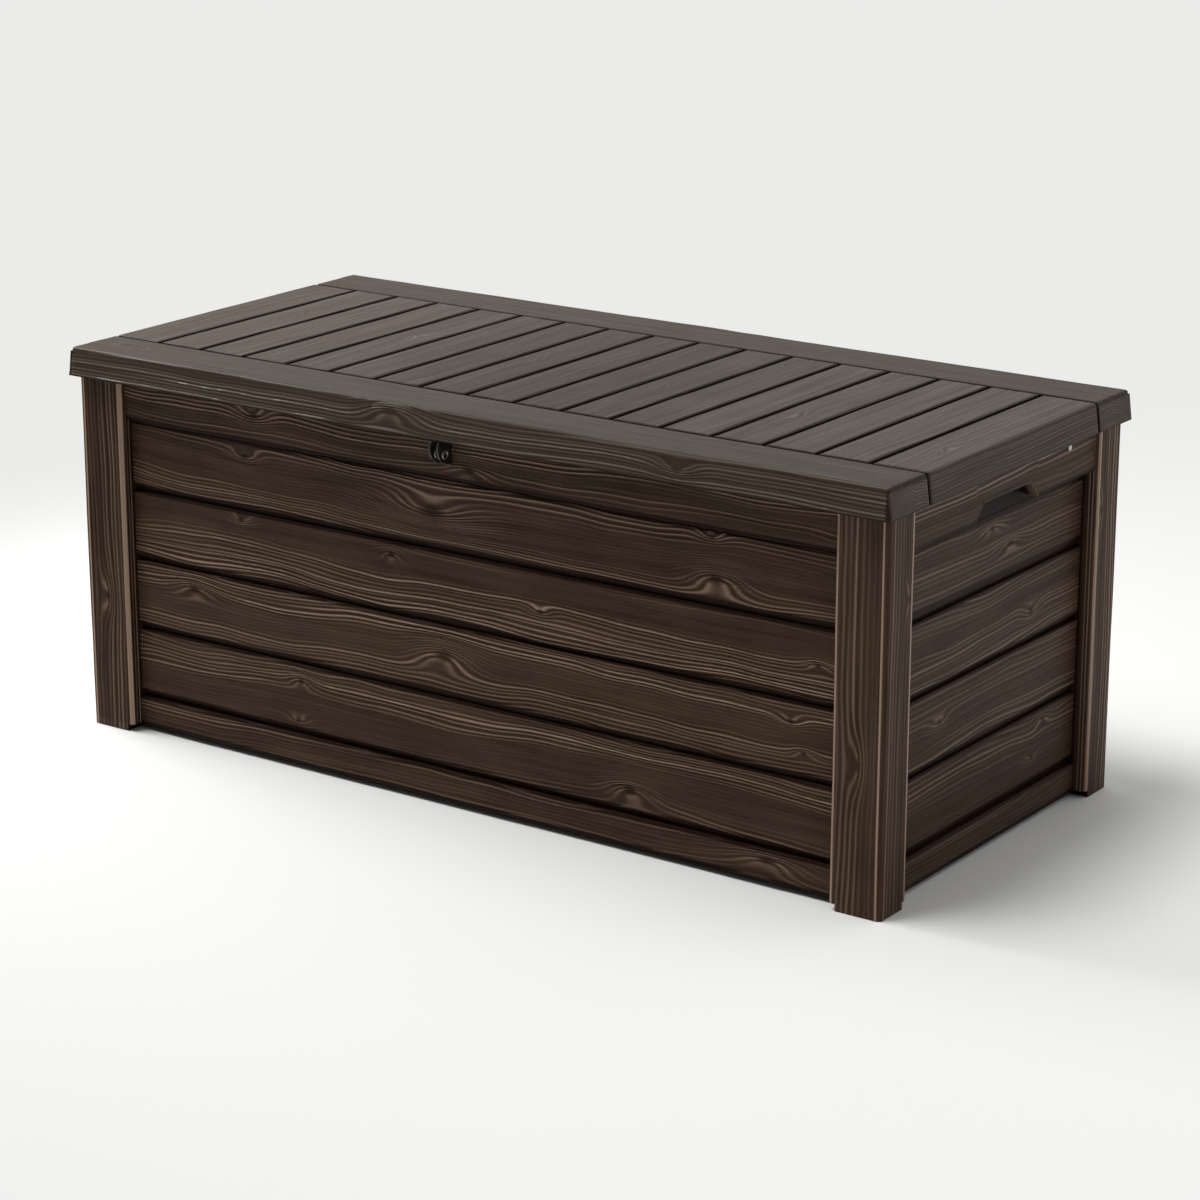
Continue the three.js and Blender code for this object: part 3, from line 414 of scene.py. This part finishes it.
def shortBoards(side, sign):
    mirrorSeed = 0 if side == "right" else 200
    along = (-size["shortHalf"], size["shortHalf"])
    for key, spec in sideBoards.items():
        grain = {**spec, "seed": spec["seed"] + mirrorSeed}
        low, high, depth = wallBoard(key)
        x = sign * (size["halfX"] - depth)
        turn = size["edgeTurn"]
        path = [(x - sign * turn, 0, low), (x, 0, low), (x, 0, high)]
        radii = [size["edgeRadius"]]
        path.append((x - sign * turn, 0, high))
        radii.append(size["edgeRadius"])
        if key == "rail":
            path, radii = path[1:], radii[1:]
        board(f"{side}_{key}", "box", "box_resin", "y", (sign, 0, 0), path, radii, along, grain,
              shade=11.0 if key == "plank_1" else 6.0)
    x = sign * (size["halfX"] - size["sideHeaderDepth"])
    grain = {"spacing": 8.0, "height": 0.7, "seed": 71 + mirrorSeed, "calm": 0.25,
             "zones": ((40, 200, 0.8),)}
    half, bottom, rim = size["pocketBase"] / 2, size["headerBottom"], size["rimTop"]
    for part, low, high in (("rear", half, size["shortHalf"]), ("front", -size["shortHalf"], -half)):
        board(f"{side}_header_{part}", "box", "box_resin", "y", (sign, 0, 0),
              [(x - sign * size["edgeTurn"], 0, bottom), (x, 0, bottom), (x, 0, rim)],
              [size["edgeRadius"]], (low, high), grain, shade=5.0)
    back = sign * (size["halfX"] - size["plankDepth"])
    # the pocket's back is painted dark all over: painted shade in the recess
    board(f"{side}_pocket_back", "box", "box_resin", "y", (sign, 0, 0),
          [(back, 0, bottom - 6), (back, 0, bottom + size["pocketHeight"] + 1)], [],
          (-half - 6, half + 6), grain, lift=0.8, tone=-1.0, stepV=2.0)
    # three boards round the open pocket, split where its edge turns
    top = size["pocketTop"] / 2
    for part, low, high in (("slope_rear", top, half), ("slope_front", -half, -top)):
        board(f"{side}_header_{part}", "box", "box_resin", "y", (sign, 0, 0),
              [(x, 0, bottom), (x, 0, rim)], [], (low, high), grain, low=pocketRise, stepU=3.0)
    board(f"{side}_header_middle", "box", "box_resin", "y", (sign, 0, 0),
          [(x, 0, bottom + size["pocketHeight"]), (x, 0, rim)], [], (-top, top), grain,
          shiftV=size["pocketHeight"], stepU=3.0)


pocketValues = {
    # cross-section of the lip: across the edge (away from the pocket), and out of the face
    "lip": ((4.6, 0.3), (3.6, 1.6), (1.0, 1.9), (-1.2, 0.6), (-3.4, -7.0), (-0.4, -7.4), (2.0, -1.6)),
    "tint": 0.12,
}


# A chamfered lip that runs round the open pocket in a side header.
def pocketLip(side, sign):
    base, top = size["pocketBase"] / 2, size["pocketTop"] / 2
    low, high = size["headerBottom"], size["headerBottom"] + size["pocketHeight"]
    edge = np.array([(-base, low), (-top, high), (top, high), (base, low)], float)
    along = np.diff(edge, axis=0)
    along /= np.linalg.norm(along, axis=1)[:, None]
    away = np.stack([-along[:, 1], along[:, 0]], -1)
    mitres = [away[0], away[0] + away[1], away[1] + away[2], away[2]]
    mitres = [m / (m @ a) for m, a in zip(mitres, (away[0], away[0], away[1], away[2]))]
    stations = []
    for i in range(3):
        count = 40 if i == 1 else 10
        for k in range(count + (i == 2)):
            t = k / count
            stations.append((edge[i] * (1 - t) + edge[i + 1] * t, mitres[i] * (1 - t) + mitres[i + 1] * t
                             if k == 0 else away[i]))
    stations[0] = (edge[0], np.array((-1.0, 0)) * abs(1 / away[0][0]))
    stations[-1] = (edge[3], np.array((1.0, 0)) * abs(1 / away[2][0]))
    lip = pocketValues["lip"]
    face = size["halfX"] - size["sideHeaderDepth"]
    verts = []
    for place, out in stations:
        for across, depth in lip:
            y, z = place + out * across
            verts.append((sign * (face + depth), y, z))
    n, m = len(stations), len(lip)
    index = np.arange(n * m).reshape(n, m)
    nextRow, nextCol = index[1:], np.roll(index, -1, 1)
    quads = np.stack([index[:-1], nextRow, np.roll(nextRow, -1, 1), nextCol[:-1]], -1).reshape(-1, 4)
    caps = [list(index[0]), list(index[-1][::-1])]
    if sign > 0:
        quads, caps = quads[:, ::-1], [cap[::-1] for cap in caps]
    verts = np.array(verts)
    grainUv = np.stack([verts[:, 1], verts[:, 2], np.full(len(verts), 900.0)], -1) / 1000
    obj = meshFromFaces(f"{side}_pocket_lip", verts, quads, caps,
                        {"grainUv": grainUv, "crest": np.full(len(verts), pocketValues["tint"])})
    obj["slotName"] = "box_resin"
    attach(obj, "box")
    allBoards.append(obj)


shortBoards("right", 1)
shortBoards("left", -1)
pocketLip("right", 1)
pocketLip("left", -1)
print("side boards made")

# Posts
postValues = {
    "grain": {"spacing": 8.4, "height": 1.3, "swell": 0.9, "waves": ((300, 5.0), (120, 2.2), (50, 0.7)),
              "calm": 0.3, "fade": 200, "zones": ((30, 66, 0.75), (108, 140, 0.75)), "sharp": 0.9},
    # the left posts' tone value paints them darker: painted shade
    "low": 12, "high": 609, "bevel": 4.5, "reach": 22, "edge": 1.5, "footStep": 10.5, "tone": -0.1,
    # painted highlight strips across the cover at its edges and bevels: from, to, share of the full edge
    # highlight
    "bands": ((16.5, 25, 1), (95.5, 99.5, 0.8), (166, 173, 0.8), (3, 5.5, 0.8), (10, 12, 0.7),
              (177, 179.5, 1), (183, 185.5, 1)),
}


def postBoard(name, signX, signY, seed):
    hx, hy = size["halfX"], size["halfY"]
    inX, inY = hx - size["postX"], hy - size["postY"]
    bevel, reach = postValues["bevel"], postValues["reach"]
    local = [
        (inX, hy - reach), (inX, hy - bevel), (inX + bevel, hy), (hx, hy),
        (hx, inY + bevel), (hx - bevel, inY), (hx - reach, inY),
    ]
    path = [(signX * x, signY * y, 0) for x, y in local]
    edge = postValues["edge"]
    bands = tuple((low, high, share * edge) for low, high, share in postValues["bands"])
    grain = {**postValues["grain"], "seed": seed, "bands": bands,
             "knots": ((230, 62, 7, 1.8), (470, 160, 6, 1.8))}
    # the left posts take the darker value: painted shade
    board(name, "box", "box_resin", "z", (signX, signY, 0), path, [1.6, 1.6, 6.5, 1.6, 1.6],
          (postValues["low"], postValues["high"]), grain, lift=0.45, stepU=5.0, stepV=1.1,
          tone=postValues["tone"] if signX < 0 else 0.0)
    # the foot carries the outer faces down to the ground
    step = postValues["footStep"]
    foot = [(inX + step, hy), (hx, hy), (hx, inY + step)]
    board(name + "_foot", "box", "box_resin", "z", (signX, signY, 0),
          [(signX * x, signY * y, 0) for x, y in foot], [6.5], (0.6, postValues["low"] + 0.2), grain,
          lift=0.45, stepV=1.1, shiftV=23.6 + step - bevel, fadeV=1.5)


for index, (row, signY) in enumerate((("front", -1), ("rear", 1))):
    for column, (side, signX) in enumerate((("left", -1), ("right", 1))):
        postBoard(f"post_cover_{row}_{side}", signX, signY, 81 + 7 * index + 3 * column)
print("posts made")

# Lid
lidValues = {
    "railGrain": {"spacing": 5.4, "height": 1.6, "swell": 0.6, "waves": ((420, 7.0), (150, 3.4), (60, 1.0)),
                  "zones": ((-30, 42, 1.0),), "calm": 0.22, "fade": 320},
    "slatGrain": {"spacing": 5.6, "height": 0.4, "waves": ((300, 7.0), (110, 2.6), (45, 0.8)),
                  "zones": ((-1e4, 1e4, 0.6),), "calm": 0.3, "fade": 150, "swell": 0.7, "sharp": 1.0},
    "lift": 1.0, "wander": 1.1, "setBack": 1.8, "slatSetBack": 2.3,
    # the middle slats are painted darker, most at the centre: painted shade
    "middleShade": -0.2, "middleSpread": 4,
}


def lidInset(z):
    return (z - size["lidBottom"]) * size["lidFlare"] / (size["lidTop"] - size["lidBottom"])


def lidRail(name, sign, seed, knots, ovals=()):
    bottom, top = size["lidBottom"] + 1.5, size["lidTop"]
    outer, inner = size["lidHalfY"], size["railInner"] + lidValues["setBack"]
    path = [
        (0, sign * (outer - lidInset(bottom)), bottom), (0, sign * (outer - lidInset(top)), top),
        (0, sign * inner, top), (0, sign * inner, top - 2.4),
    ]
    grain = {**lidValues["railGrain"], "seed": seed, "knots": knots, "ovals": ovals}
    return board(name, "lid", "lid_resin", "x", (0, sign, 2.0), path, [4.5, 1.0], (-767.5, 767.5), grain,
                 lift=0.6, thick=1.6, endDrop=1.4, endRadius=3.0)


lidRail("lid_rail_front", -1, 91, ((-106, 31, 9, 2.2), (420, 22, 6, 2.0)), ((-686, 98, 34, 14),))
lidRail("lid_rail_rear", 1, 95, ((150, 24, 8, 2.0),))

half = (size["slatPitch"] - size["slatGroove"]) / 2 - lidValues["slatSetBack"]
slatHalf = size["slatEnd"] - lidValues["setBack"]
middle = (size["slats"] - 1) // 2
for i in range(size["slats"]):
    centre = (i - middle) * size["slatPitch"]
    top = size["lidTop"]
    grain = {**lidValues["slatGrain"], "seed": 120 + 3 * i}
    if i % 3 == 1:
        grain["knots"] = ((-120 + 37 * ((i * 5) % 8), 42, 5, 1.8),)
    if i in (0, size["slats"] - 1):
        sign = -1 if i == 0 else 1
        inner = sign * middle * size["slatPitch"] - sign * half
        bottom = size["lidBottom"] + 1.5
        path = [
            (inner, 0, top - 3), (inner, 0, top),
            (sign * (size["lidHalfX"] - lidInset(top)), 0, top),
            (sign * (size["lidHalfX"] - lidInset(bottom)), 0, bottom),
        ]
        board(f"slat_{i + 1}", "lid", "lid_resin", "y", (sign, 0, 2.0), path, [1.0, 4.5],
              (-slatHalf, slatHalf), grain, lift=0.6, thick=1.6,
              endDrop=1.2, endRadius=3.0)
        continue
    # painted shade: darker towards the middle slats
    tone = lidValues["middleShade"] * math.exp(-((i - middle) / lidValues["middleSpread"]) ** 2)
    path = [(centre - half, 0, top - 4.5), (centre - half, 0, top), (centre + half, 0, top),
            (centre + half, 0, top - 4.5)]
    board(f"slat_{i + 1}", "lid", "lid_resin", "y", (0, 0, 1), path, [1.0, 1.0],
          (-slatHalf, slatHalf), grain, lift=lidValues["lift"],
          wander=lidValues["wander"], tone=tone, stepV=1.25, stepU=5.0, endDrop=1.0, endRadius=3.0)
print("lid boards made")

# Rail ends, with end grain
endValues = {"spacing": 5.2, "height": 1.2, "radiusCentre": (30, -38)}


# The sawn end of a lid rail, with growth rings about a centre below the board.
def railEnd(name, signX, signY, seed):
    bottom, top = size["lidBottom"] + 1.5, size["lidTop"] - 5.5
    low, high = size["railInner"], size["lidHalfY"] - 3.5
    step = 1.5
    us = np.linspace(low, high, int((high - low) / step))
    vs = np.linspace(bottom, top, int((top - bottom) / step))
    uu, vv = np.meshgrid(us, vs, indexing="ij")
    cu, cv = endValues["radiusCentre"]
    radius = np.hypot(uu - (low + cu), (vv - bottom - cv) * 1.25)
    radius = radius + 2.2 * (noise(uu / 26, vv / 22, seed) - 0.5)
    p = radius / endValues["spacing"]
    cell = np.floor(p)
    ridge = np.exp(-(((p - cell) - 0.5) / 0.2) ** 2) * (0.4 + 0.6 * hash01(cell, cell * 0, seed))
    edge = np.minimum(np.minimum(uu - low, high - uu), np.minimum(vv - bottom, top - vv))
    fade = np.clip(edge / 2.5, 0, 1)
    height = 0.15 + (0.35 + endValues["height"] * ridge) * fade
    x = size["lidHalfX"] - lidInset(vv)
    outer = np.stack([signX * (x + height), signY * uu, vv], -1)
    inner = np.stack([signX * (x - 1.6), signY * uu, vv], -1)
    n, m = uu.shape
    front = np.arange(n * m).reshape(n, m)
    back = n * m + front
    ring = np.concatenate([front[:, 0], front[-1, 1:], front[-2::-1, -1], front[0, -2:0:-1]])
    ringNext = np.roll(ring, -1)
    quads = np.concatenate([
        np.stack([front[:-1, :-1], front[1:, :-1], front[1:, 1:], front[:-1, 1:]], -1).reshape(-1, 4),
        np.stack([back[:-1, :-1], back[:-1, 1:], back[1:, 1:], back[1:, :-1]], -1).reshape(-1, 4),
        np.stack([ringNext, ring, ring + n * m, ringNext + n * m], -1),
    ])
    if signX * signY < 0:
        quads = quads[:, ::-1]
    verts = np.concatenate([outer.reshape(-1, 3), inner.reshape(-1, 3)])
    # the crest mask lightens the ring ridges: painted highlight
    crest = np.concatenate([(ridge * fade).ravel(), np.zeros(n * m)])
    shelf = np.full(2 * n * m, 173.0 * seed)
    grainUv = np.stack([np.tile(uu.ravel(), 2), np.tile(vv.ravel(), 2), shelf], -1)
    obj = meshFromFaces(name, verts, quads, [], {"grainUv": grainUv / 1000, "crest": crest})
    obj["slotName"] = "lid_resin"
    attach(obj, "lid")
    allBoards.append(obj)


for row, signY in (("front", -1), ("rear", 1)):
    for side, signX in (("left", -1), ("right", 1)):
        railEnd(f"rail_end_{row}_{side}", signX, signY, 7 + signX + 2 * signY)
print("rail ends made")


# Materials
def newGroup(name, inputs, outputs):
    group = bpy.data.node_groups.new(name, "ShaderNodeTree")
    for label, kind in inputs:
        group.interface.new_socket(label, in_out="INPUT", socket_type=kind)
    for label, kind in outputs:
        group.interface.new_socket(label, in_out="OUTPUT", socket_type=kind)
    return group, group.nodes.new("NodeGroupInput"), group.nodes.new("NodeGroupOutput")


def addNode(tree, kind, settings=None, sockets=None, links=None):
    node = tree.nodes.new(kind)
    for key, value in (settings or {}).items():
        setattr(node, key, value)
    for key, value in (sockets or {}).items():
        node.inputs[key].default_value = value
    for key, source in (links or {}).items():
        tree.links.new(source, node.inputs[key])
    return node


def maths(tree, operation, a, b=None, clamp=False):
    node = addNode(tree, "ShaderNodeMath", {"operation": operation, "use_clamp": clamp})
    for slot, value in ((0, a), (1, b)):
        if value is None:
            continue
        if isinstance(value, (int, float)):
            node.inputs[slot].default_value = value
        else:
            tree.links.new(value, node.inputs[slot])
    return node.outputs[0]


def stretched(tree, vector, scale, detail=5.0, rough=0.6):
    mapping = addNode(tree, "ShaderNodeMapping", sockets={"Scale": scale}, links={"Vector": vector})
    return addNode(tree, "ShaderNodeTexNoise", sockets={"Scale": 1.0, "Detail": detail, "Roughness": rough},
                   links={"Vector": mapping.outputs[0]}).outputs["Fac"]


def ramp(tree, source, low, high, toLow=0.0, toHigh=1.0):
    return addNode(tree, "ShaderNodeMapRange",
                   sockets={"From Min": low, "From Max": high, "To Min": toLow, "To Max": toHigh},
                   links={"Value": source}).outputs[0]


# Streaked resin: colour, roughness and height from grain coordinates and a crest mask. The crest mask paints
# highlights on ridge tops and shade along grooves, in the pocket and on darkened boards.
def resinGroup():
    group, start, end = newGroup(
        "streakedResin",
        [("Vector", "NodeSocketVector"), ("Crest", "NodeSocketFloat"), ("Dark", "NodeSocketColor"),
         ("Light", "NodeSocketColor"), ("Rough", "NodeSocketFloat")],
        [("Color", "NodeSocketColor"), ("Roughness", "NodeSocketFloat"), ("Height", "NodeSocketFloat"),
         ("Gloss", "NodeSocketFloat")])
    vector = start.outputs["Vector"]
    fine = stretched(group, vector, (9.0, 700.0, 60.0))
    broad = stretched(group, vector, (2.4, 95.0, 11.0), 3.0)
    blotch = stretched(group, vector, (7.0, 11.0, 9.0), 4.0)
    grit = stretched(group, vector, (900.0, 1300.0, 700.0), 2.0)
    streak = maths(group, "ADD", maths(group, "MULTIPLY", ramp(group, fine, 0.3, 0.7), 0.05),
                   maths(group, "MULTIPLY", ramp(group, broad, 0.32, 0.68), 0.07))
    tone = maths(group, "ADD", streak, maths(group, "MULTIPLY", ramp(group, blotch, 0.3, 0.7), 0.06))
    # raised crest moves the colour towards the light colour: painted highlight on ridge tops
    raised = maths(group, "POWER", maths(group, "MAXIMUM", start.outputs["Crest"], 0.0), 1.45)
    # sunk crest darkens: painted shade along grooves, in the pocket and on darkened boards, and the knots'
    # dark cores
    sunk = maths(group, "MINIMUM", start.outputs["Crest"], 0.0)
    tone = maths(group, "ADD", tone, maths(group, "MULTIPLY", raised, 0.92))
    tone = maths(group, "ADD", tone, maths(group, "MULTIPLY", sunk, 0.72), clamp=True)
    mix = addNode(group, "ShaderNodeMix", {"data_type": "RGBA"})
    group.links.new(tone, mix.inputs[0])
    group.links.new(start.outputs["Dark"], mix.inputs[6])
    group.links.new(start.outputs["Light"], mix.inputs[7])
    # scales the colour down where the crest is sunk: painted shade, and the knot cores
    darken = maths(group, "ADD", maths(group, "MULTIPLY", sunk, 0.85), 1.0)
    shaded = addNode(group, "ShaderNodeVectorMath", {"operation": "SCALE"},
                     links={"Vector": mix.outputs[2], "Scale": darken})
    group.links.new(shaded.outputs[0], end.inputs["Color"])
    rough = maths(group, "ADD", start.outputs["Rough"], ramp(group, fine, 0.3, 0.7, -0.05, 0.07))
    rough = maths(group, "ADD", rough, ramp(group, blotch, 0.3, 0.7, -0.04, 0.05))
    group.links.new(rough, end.inputs["Roughness"])
    shine = ramp(group, broad, 0.3, 0.6, 0.18, 0.5)
    gloss = maths(group, "MULTIPLY", start.outputs["Crest"], shine, clamp=True)
    group.links.new(gloss, end.inputs["Gloss"])
    height = maths(group, "ADD", fine, maths(group, "MULTIPLY", grit, 0.35))
    group.links.new(height, end.inputs["Height"])
    return group


# Small unevenness for hardware: a tone mask, a roughness offset and a fine height.
def surfaceGroup():
    group, start, end = newGroup(
        "hardwareSurface", [("Vector", "NodeSocketVector"), ("Scale", "NodeSocketFloat")],
        [("Mask", "NodeSocketFloat"), ("Roughness", "NodeSocketFloat"), ("Height", "NodeSocketFloat")])
    big = addNode(group, "ShaderNodeTexNoise", sockets={"Detail": 5.0, "Roughness": 0.6},
                  links={"Vector": start.outputs["Vector"], "Scale": start.outputs["Scale"]}).outputs["Fac"]
    small = addNode(group, "ShaderNodeTexNoise", sockets={"Scale": 900.0, "Detail": 2.0},
                    links={"Vector": start.outputs["Vector"]}).outputs["Fac"]
    group.links.new(ramp(group, big, 0.35, 0.7), end.inputs["Mask"])
    group.links.new(maths(group, "ADD", ramp(group, big, 0.3, 0.7, -0.06, 0.08),
                          ramp(group, small, 0.3, 0.7, -0.03, 0.03)), end.inputs["Roughness"])
    group.links.new(small, end.inputs["Height"])
    return group


resinNodes = resinGroup()
surfaceNodes = surfaceGroup()

# light is the colour of the grain streaks and of the painted highlight on the ridge crests
resinValues = {
    "box_resin": {"dark": (0.0215, 0.0092, 0.0046, 1), "light": (0.300, 0.196, 0.136, 1), "rough": 0.42,
                  "specular": 0.05},
    "lid_resin": {"dark": (0.0230, 0.0135, 0.0070, 1), "light": (0.150, 0.108, 0.072, 1), "rough": 0.46,
                  "specular": 0.14},
    "floor_resin": {"dark": (0.016, 0.0085, 0.0050, 1), "light": (0.06, 0.038, 0.026, 1), "rough": 0.5,
                    "specular": 0.2},
}


def resinMaterial(slot, carved):
    values = dict(resinValues[slot])
    # the plain copy, on the moulded cores seen in grooves and recesses, is darker: painted shade
    if not carved:
        values["light"] = tuple(0.35 * c for c in values["light"][:3]) + (1,)
        values["dark"] = tuple(0.6 * c for c in values["dark"][:3]) + (1,)
    material = bpy.data.materials.new(slot + ("_carved" if carved else "_plain"))
    material.use_nodes = True
    tree = material.node_tree
    shader = tree.nodes["Principled BSDF"]
    sockets = {"Dark": values["dark"], "Light": values["light"], "Rough": values["rough"], "Crest": 0.0}
    group = addNode(tree, "ShaderNodeGroup", {"node_tree": resinNodes}, sockets)
    if carved:
        place = addNode(tree, "ShaderNodeAttribute", {"attribute_name": "grainUv"})
        crest = addNode(tree, "ShaderNodeAttribute", {"attribute_name": "crest"})
        tree.links.new(place.outputs["Vector"], group.inputs["Vector"])
        tree.links.new(crest.outputs["Fac"], group.inputs["Crest"])
    else:
        place = addNode(tree, "ShaderNodeTexCoord")
        mapping = addNode(tree, "ShaderNodeMapping", sockets={"Scale": (4.0, 0.12, 1.6)},
                          links={"Vector": place.outputs["Object"]})
        tree.links.new(mapping.outputs[0], group.inputs["Vector"])
    bump = addNode(tree, "ShaderNodeBump", sockets={"Strength": 0.35, "Distance": 0.0004},
                   links={"Height": group.outputs["Height"]})
    tree.links.new(group.outputs["Color"], shader.inputs["Base Color"])
    tree.links.new(group.outputs["Roughness"], shader.inputs["Roughness"])
    tree.links.new(bump.outputs[0], shader.inputs["Normal"])
    shader.inputs["Specular IOR Level"].default_value = values["specular"]
    shader.inputs["Coat Roughness"].default_value = 0.3
    if carved:
        tree.links.new(group.outputs["Gloss"], shader.inputs["Coat Weight"])
    return material


hardwareValues = {
    "black_steel": {"base": (0.012, 0.012, 0.012, 1), "worn": (0.05, 0.048, 0.045, 1), "metallic": 0.6,
                    "rough": 0.34, "scale": 60.0, "bump": 0.2},
    "zinc_steel": {"base": (0.36, 0.36, 0.37, 1), "worn": (0.52, 0.51, 0.49, 1), "metallic": 1.0,
                   "rough": 0.36, "scale": 90.0, "bump": 0.12},
    "chrome_rod": {"base": (0.55, 0.55, 0.56, 1), "worn": (0.62, 0.62, 0.62, 1), "metallic": 1.0,
                   "rough": 0.12, "scale": 40.0, "bump": 0.03},
    "black_plastic": {"base": (0.014, 0.014, 0.014, 1), "worn": (0.03, 0.03, 0.03, 1), "metallic": 0.0,
                      "rough": 0.48, "scale": 70.0, "bump": 0.25},
}


def hardwareMaterial(slot):
    values = hardwareValues[slot]
    material = bpy.data.materials.new(slot)
    material.use_nodes = True
    tree = material.node_tree
    shader = tree.nodes["Principled BSDF"]
    place = addNode(tree, "ShaderNodeTexCoord")
    group = addNode(tree, "ShaderNodeGroup", {"node_tree": surfaceNodes}, {"Scale": values["scale"]},
                    {"Vector": place.outputs["Object"]})
    mix = addNode(tree, "ShaderNodeMix", {"data_type": "RGBA"})
    mix.inputs[6].default_value = values["base"]
    mix.inputs[7].default_value = values["worn"]
    tree.links.new(group.outputs["Mask"], mix.inputs[0])
    tree.links.new(mix.outputs[2], shader.inputs["Base Color"])
    rough = maths(tree, "ADD", group.outputs["Roughness"], values["rough"])
    tree.links.new(rough, shader.inputs["Roughness"])
    shader.inputs["Metallic"].default_value = values["metallic"]
    bump = addNode(tree, "ShaderNodeBump", sockets={"Strength": values["bump"], "Distance": 0.0003},
                   links={"Height": group.outputs["Height"]})
    tree.links.new(bump.outputs[0], shader.inputs["Normal"])
    return material


carved = {slot: resinMaterial(slot, True) for slot in ("box_resin", "lid_resin")}
plain = {slot: resinMaterial(slot, False) for slot in resinValues}
hardware = {slot: hardwareMaterial(slot) for slot in hardwareValues}
for obj in allBoards:
    obj.data.materials.append(carved[obj["slotName"]])

for part in frame["record"]["subparts"]:
    node, slot = nodes[part["node"]], part["material_slot"]
    node.data.materials.clear()
    node.data.materials.append(plain[slot] if slot in plain else hardware[slot])
print("materials made")

# Lock eyelets
eyeletValues = {"y": -355, "z": 578, "radius": 6.3, "wire": 1.3, "segments": 40, "sides": 14}


# A rolled rim around the hole of a hasp ear.
def eyelet(name, body, x):
    v = eyeletValues
    verts = []
    n, m = v["segments"], v["sides"]
    for i in range(n):
        a = 2 * math.pi * i / n
        for j in range(m):
            b = 2 * math.pi * j / m
            reach = v["radius"] + v["wire"] * math.cos(b)
            side = x + v["wire"] * 0.8 * math.sin(b)
            verts.append((side, v["y"] + reach * math.cos(a), v["z"] + reach * math.sin(a)))
    index = np.arange(n * m).reshape(n, m)
    down, across = np.roll(index, -1, 0), np.roll(index, -1, 1)
    faces = np.stack([index, down, np.roll(down, -1, 1), across], -1).reshape(-1, 4)
    obj = meshFromFaces(name, np.array(verts), faces, [], {})
    obj.data.materials.append(hardware["zinc_steel"])
    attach(obj, body)


for name, body, places in (("hasp_rim_box", "box", (-12.0, -8.0)), ("hasp_rim_lid", "lid", (-27.0, -23.0))):
    for index, x in enumerate(places):
        eyelet(f"{name}_{index + 1}", body, x)
print("lock made")

# Stage, light and camera
stageValues = {"floor": (0.80, 0.80, 0.79, 1), "front": 0.15, "back": 0.93, "key": 12.0, "sun": 1.75}


def areaLight(name, place, target, width, height, power):
    light = bpy.data.lights.new(name, "AREA")
    light.shape, light.size, light.size_y, light.energy = "RECTANGLE", width, height, power
    obj = bpy.data.objects.new(name, light)
    obj.location = place
    obj.rotation_euler = (Vector(target) - Vector(place)).to_track_quat("-Z", "Y").to_euler()
    bpy.context.scene.collection.objects.link(obj)
    return obj


floorMesh = bpy.data.meshes.new("studio_floor")
floorMesh.from_pydata([(-40, -40, 0), (40, -40, 0), (40, 40, 0), (-40, 40, 0)], [], [(0, 1, 2, 3)])
floor = bpy.data.objects.new("studio_floor", floorMesh)
bpy.context.scene.collection.objects.link(floor)
floorMaterial = bpy.data.materials.new("studio_floor")
floorMaterial.use_nodes = True
floorShader = floorMaterial.node_tree.nodes["Principled BSDF"]
floorShader.inputs["Base Color"].default_value = stageValues["floor"]
floorShader.inputs["Roughness"].default_value = 0.9
floorMesh.materials.append(floorMaterial)

world = bpy.data.worlds.new("studio")
world.use_nodes = True
sky = world.node_tree
place = addNode(sky, "ShaderNodeTexCoord")
parts = addNode(sky, "ShaderNodeSeparateXYZ", links={"Vector": place.outputs["Generated"]})
sky.links.new(ramp(sky, parts.outputs["Y"], -0.7, 0.8, stageValues["front"], stageValues["back"]),
              sky.nodes["Background"].inputs["Strength"])
sky.nodes["Background"].inputs["Color"].default_value = (1, 1, 1, 1)
bpy.context.scene.world = world

key = areaLight("key", (-2.3, -0.3, 2.1), (-0.6, 0.0, 0.65), 1.2, 0.8, stageValues["key"])
sunLight = bpy.data.lights.new("sun", "SUN")
sunLight.energy, sunLight.angle = stageValues["sun"], math.radians(24)
sun = bpy.data.objects.new("sun", sunLight)
sun.rotation_euler = Vector((0.30, 0.24, -1.0)).to_track_quat("-Z", "Y").to_euler()
bpy.context.scene.collection.objects.link(sun)
key.visible_camera = False
key.data.spread = math.radians(75)

cameraValues = {"place": (3.07532, -4.3041, 1.87069), "down": 16.91, "turn": 35.31, "lens": 102.76}
cameraData = bpy.data.cameras.new("camera")
cameraData.sensor_width = 36
cameraData.lens = cameraValues["lens"]
cameraData.clip_end = 60
camera = bpy.data.objects.new("camera", cameraData)
camera.location = cameraValues["place"]
camera.rotation_euler = (
    math.radians(90 - cameraValues["down"]), 0, math.radians(cameraValues["turn"]))
bpy.context.scene.collection.objects.link(camera)
bpy.context.scene.camera = camera
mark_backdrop(floor, key, sun)
bpy.context.scene.view_settings.view_transform = "Standard"

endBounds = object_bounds()


def plainList(bounds):
    return json.loads(json.dumps(bounds, default=lambda value: list(value)))


{"start": plainList(startBounds), "end": plainList(endBounds)}
print("faces", sum(len(obj.data.polygons) for obj in allBoards))
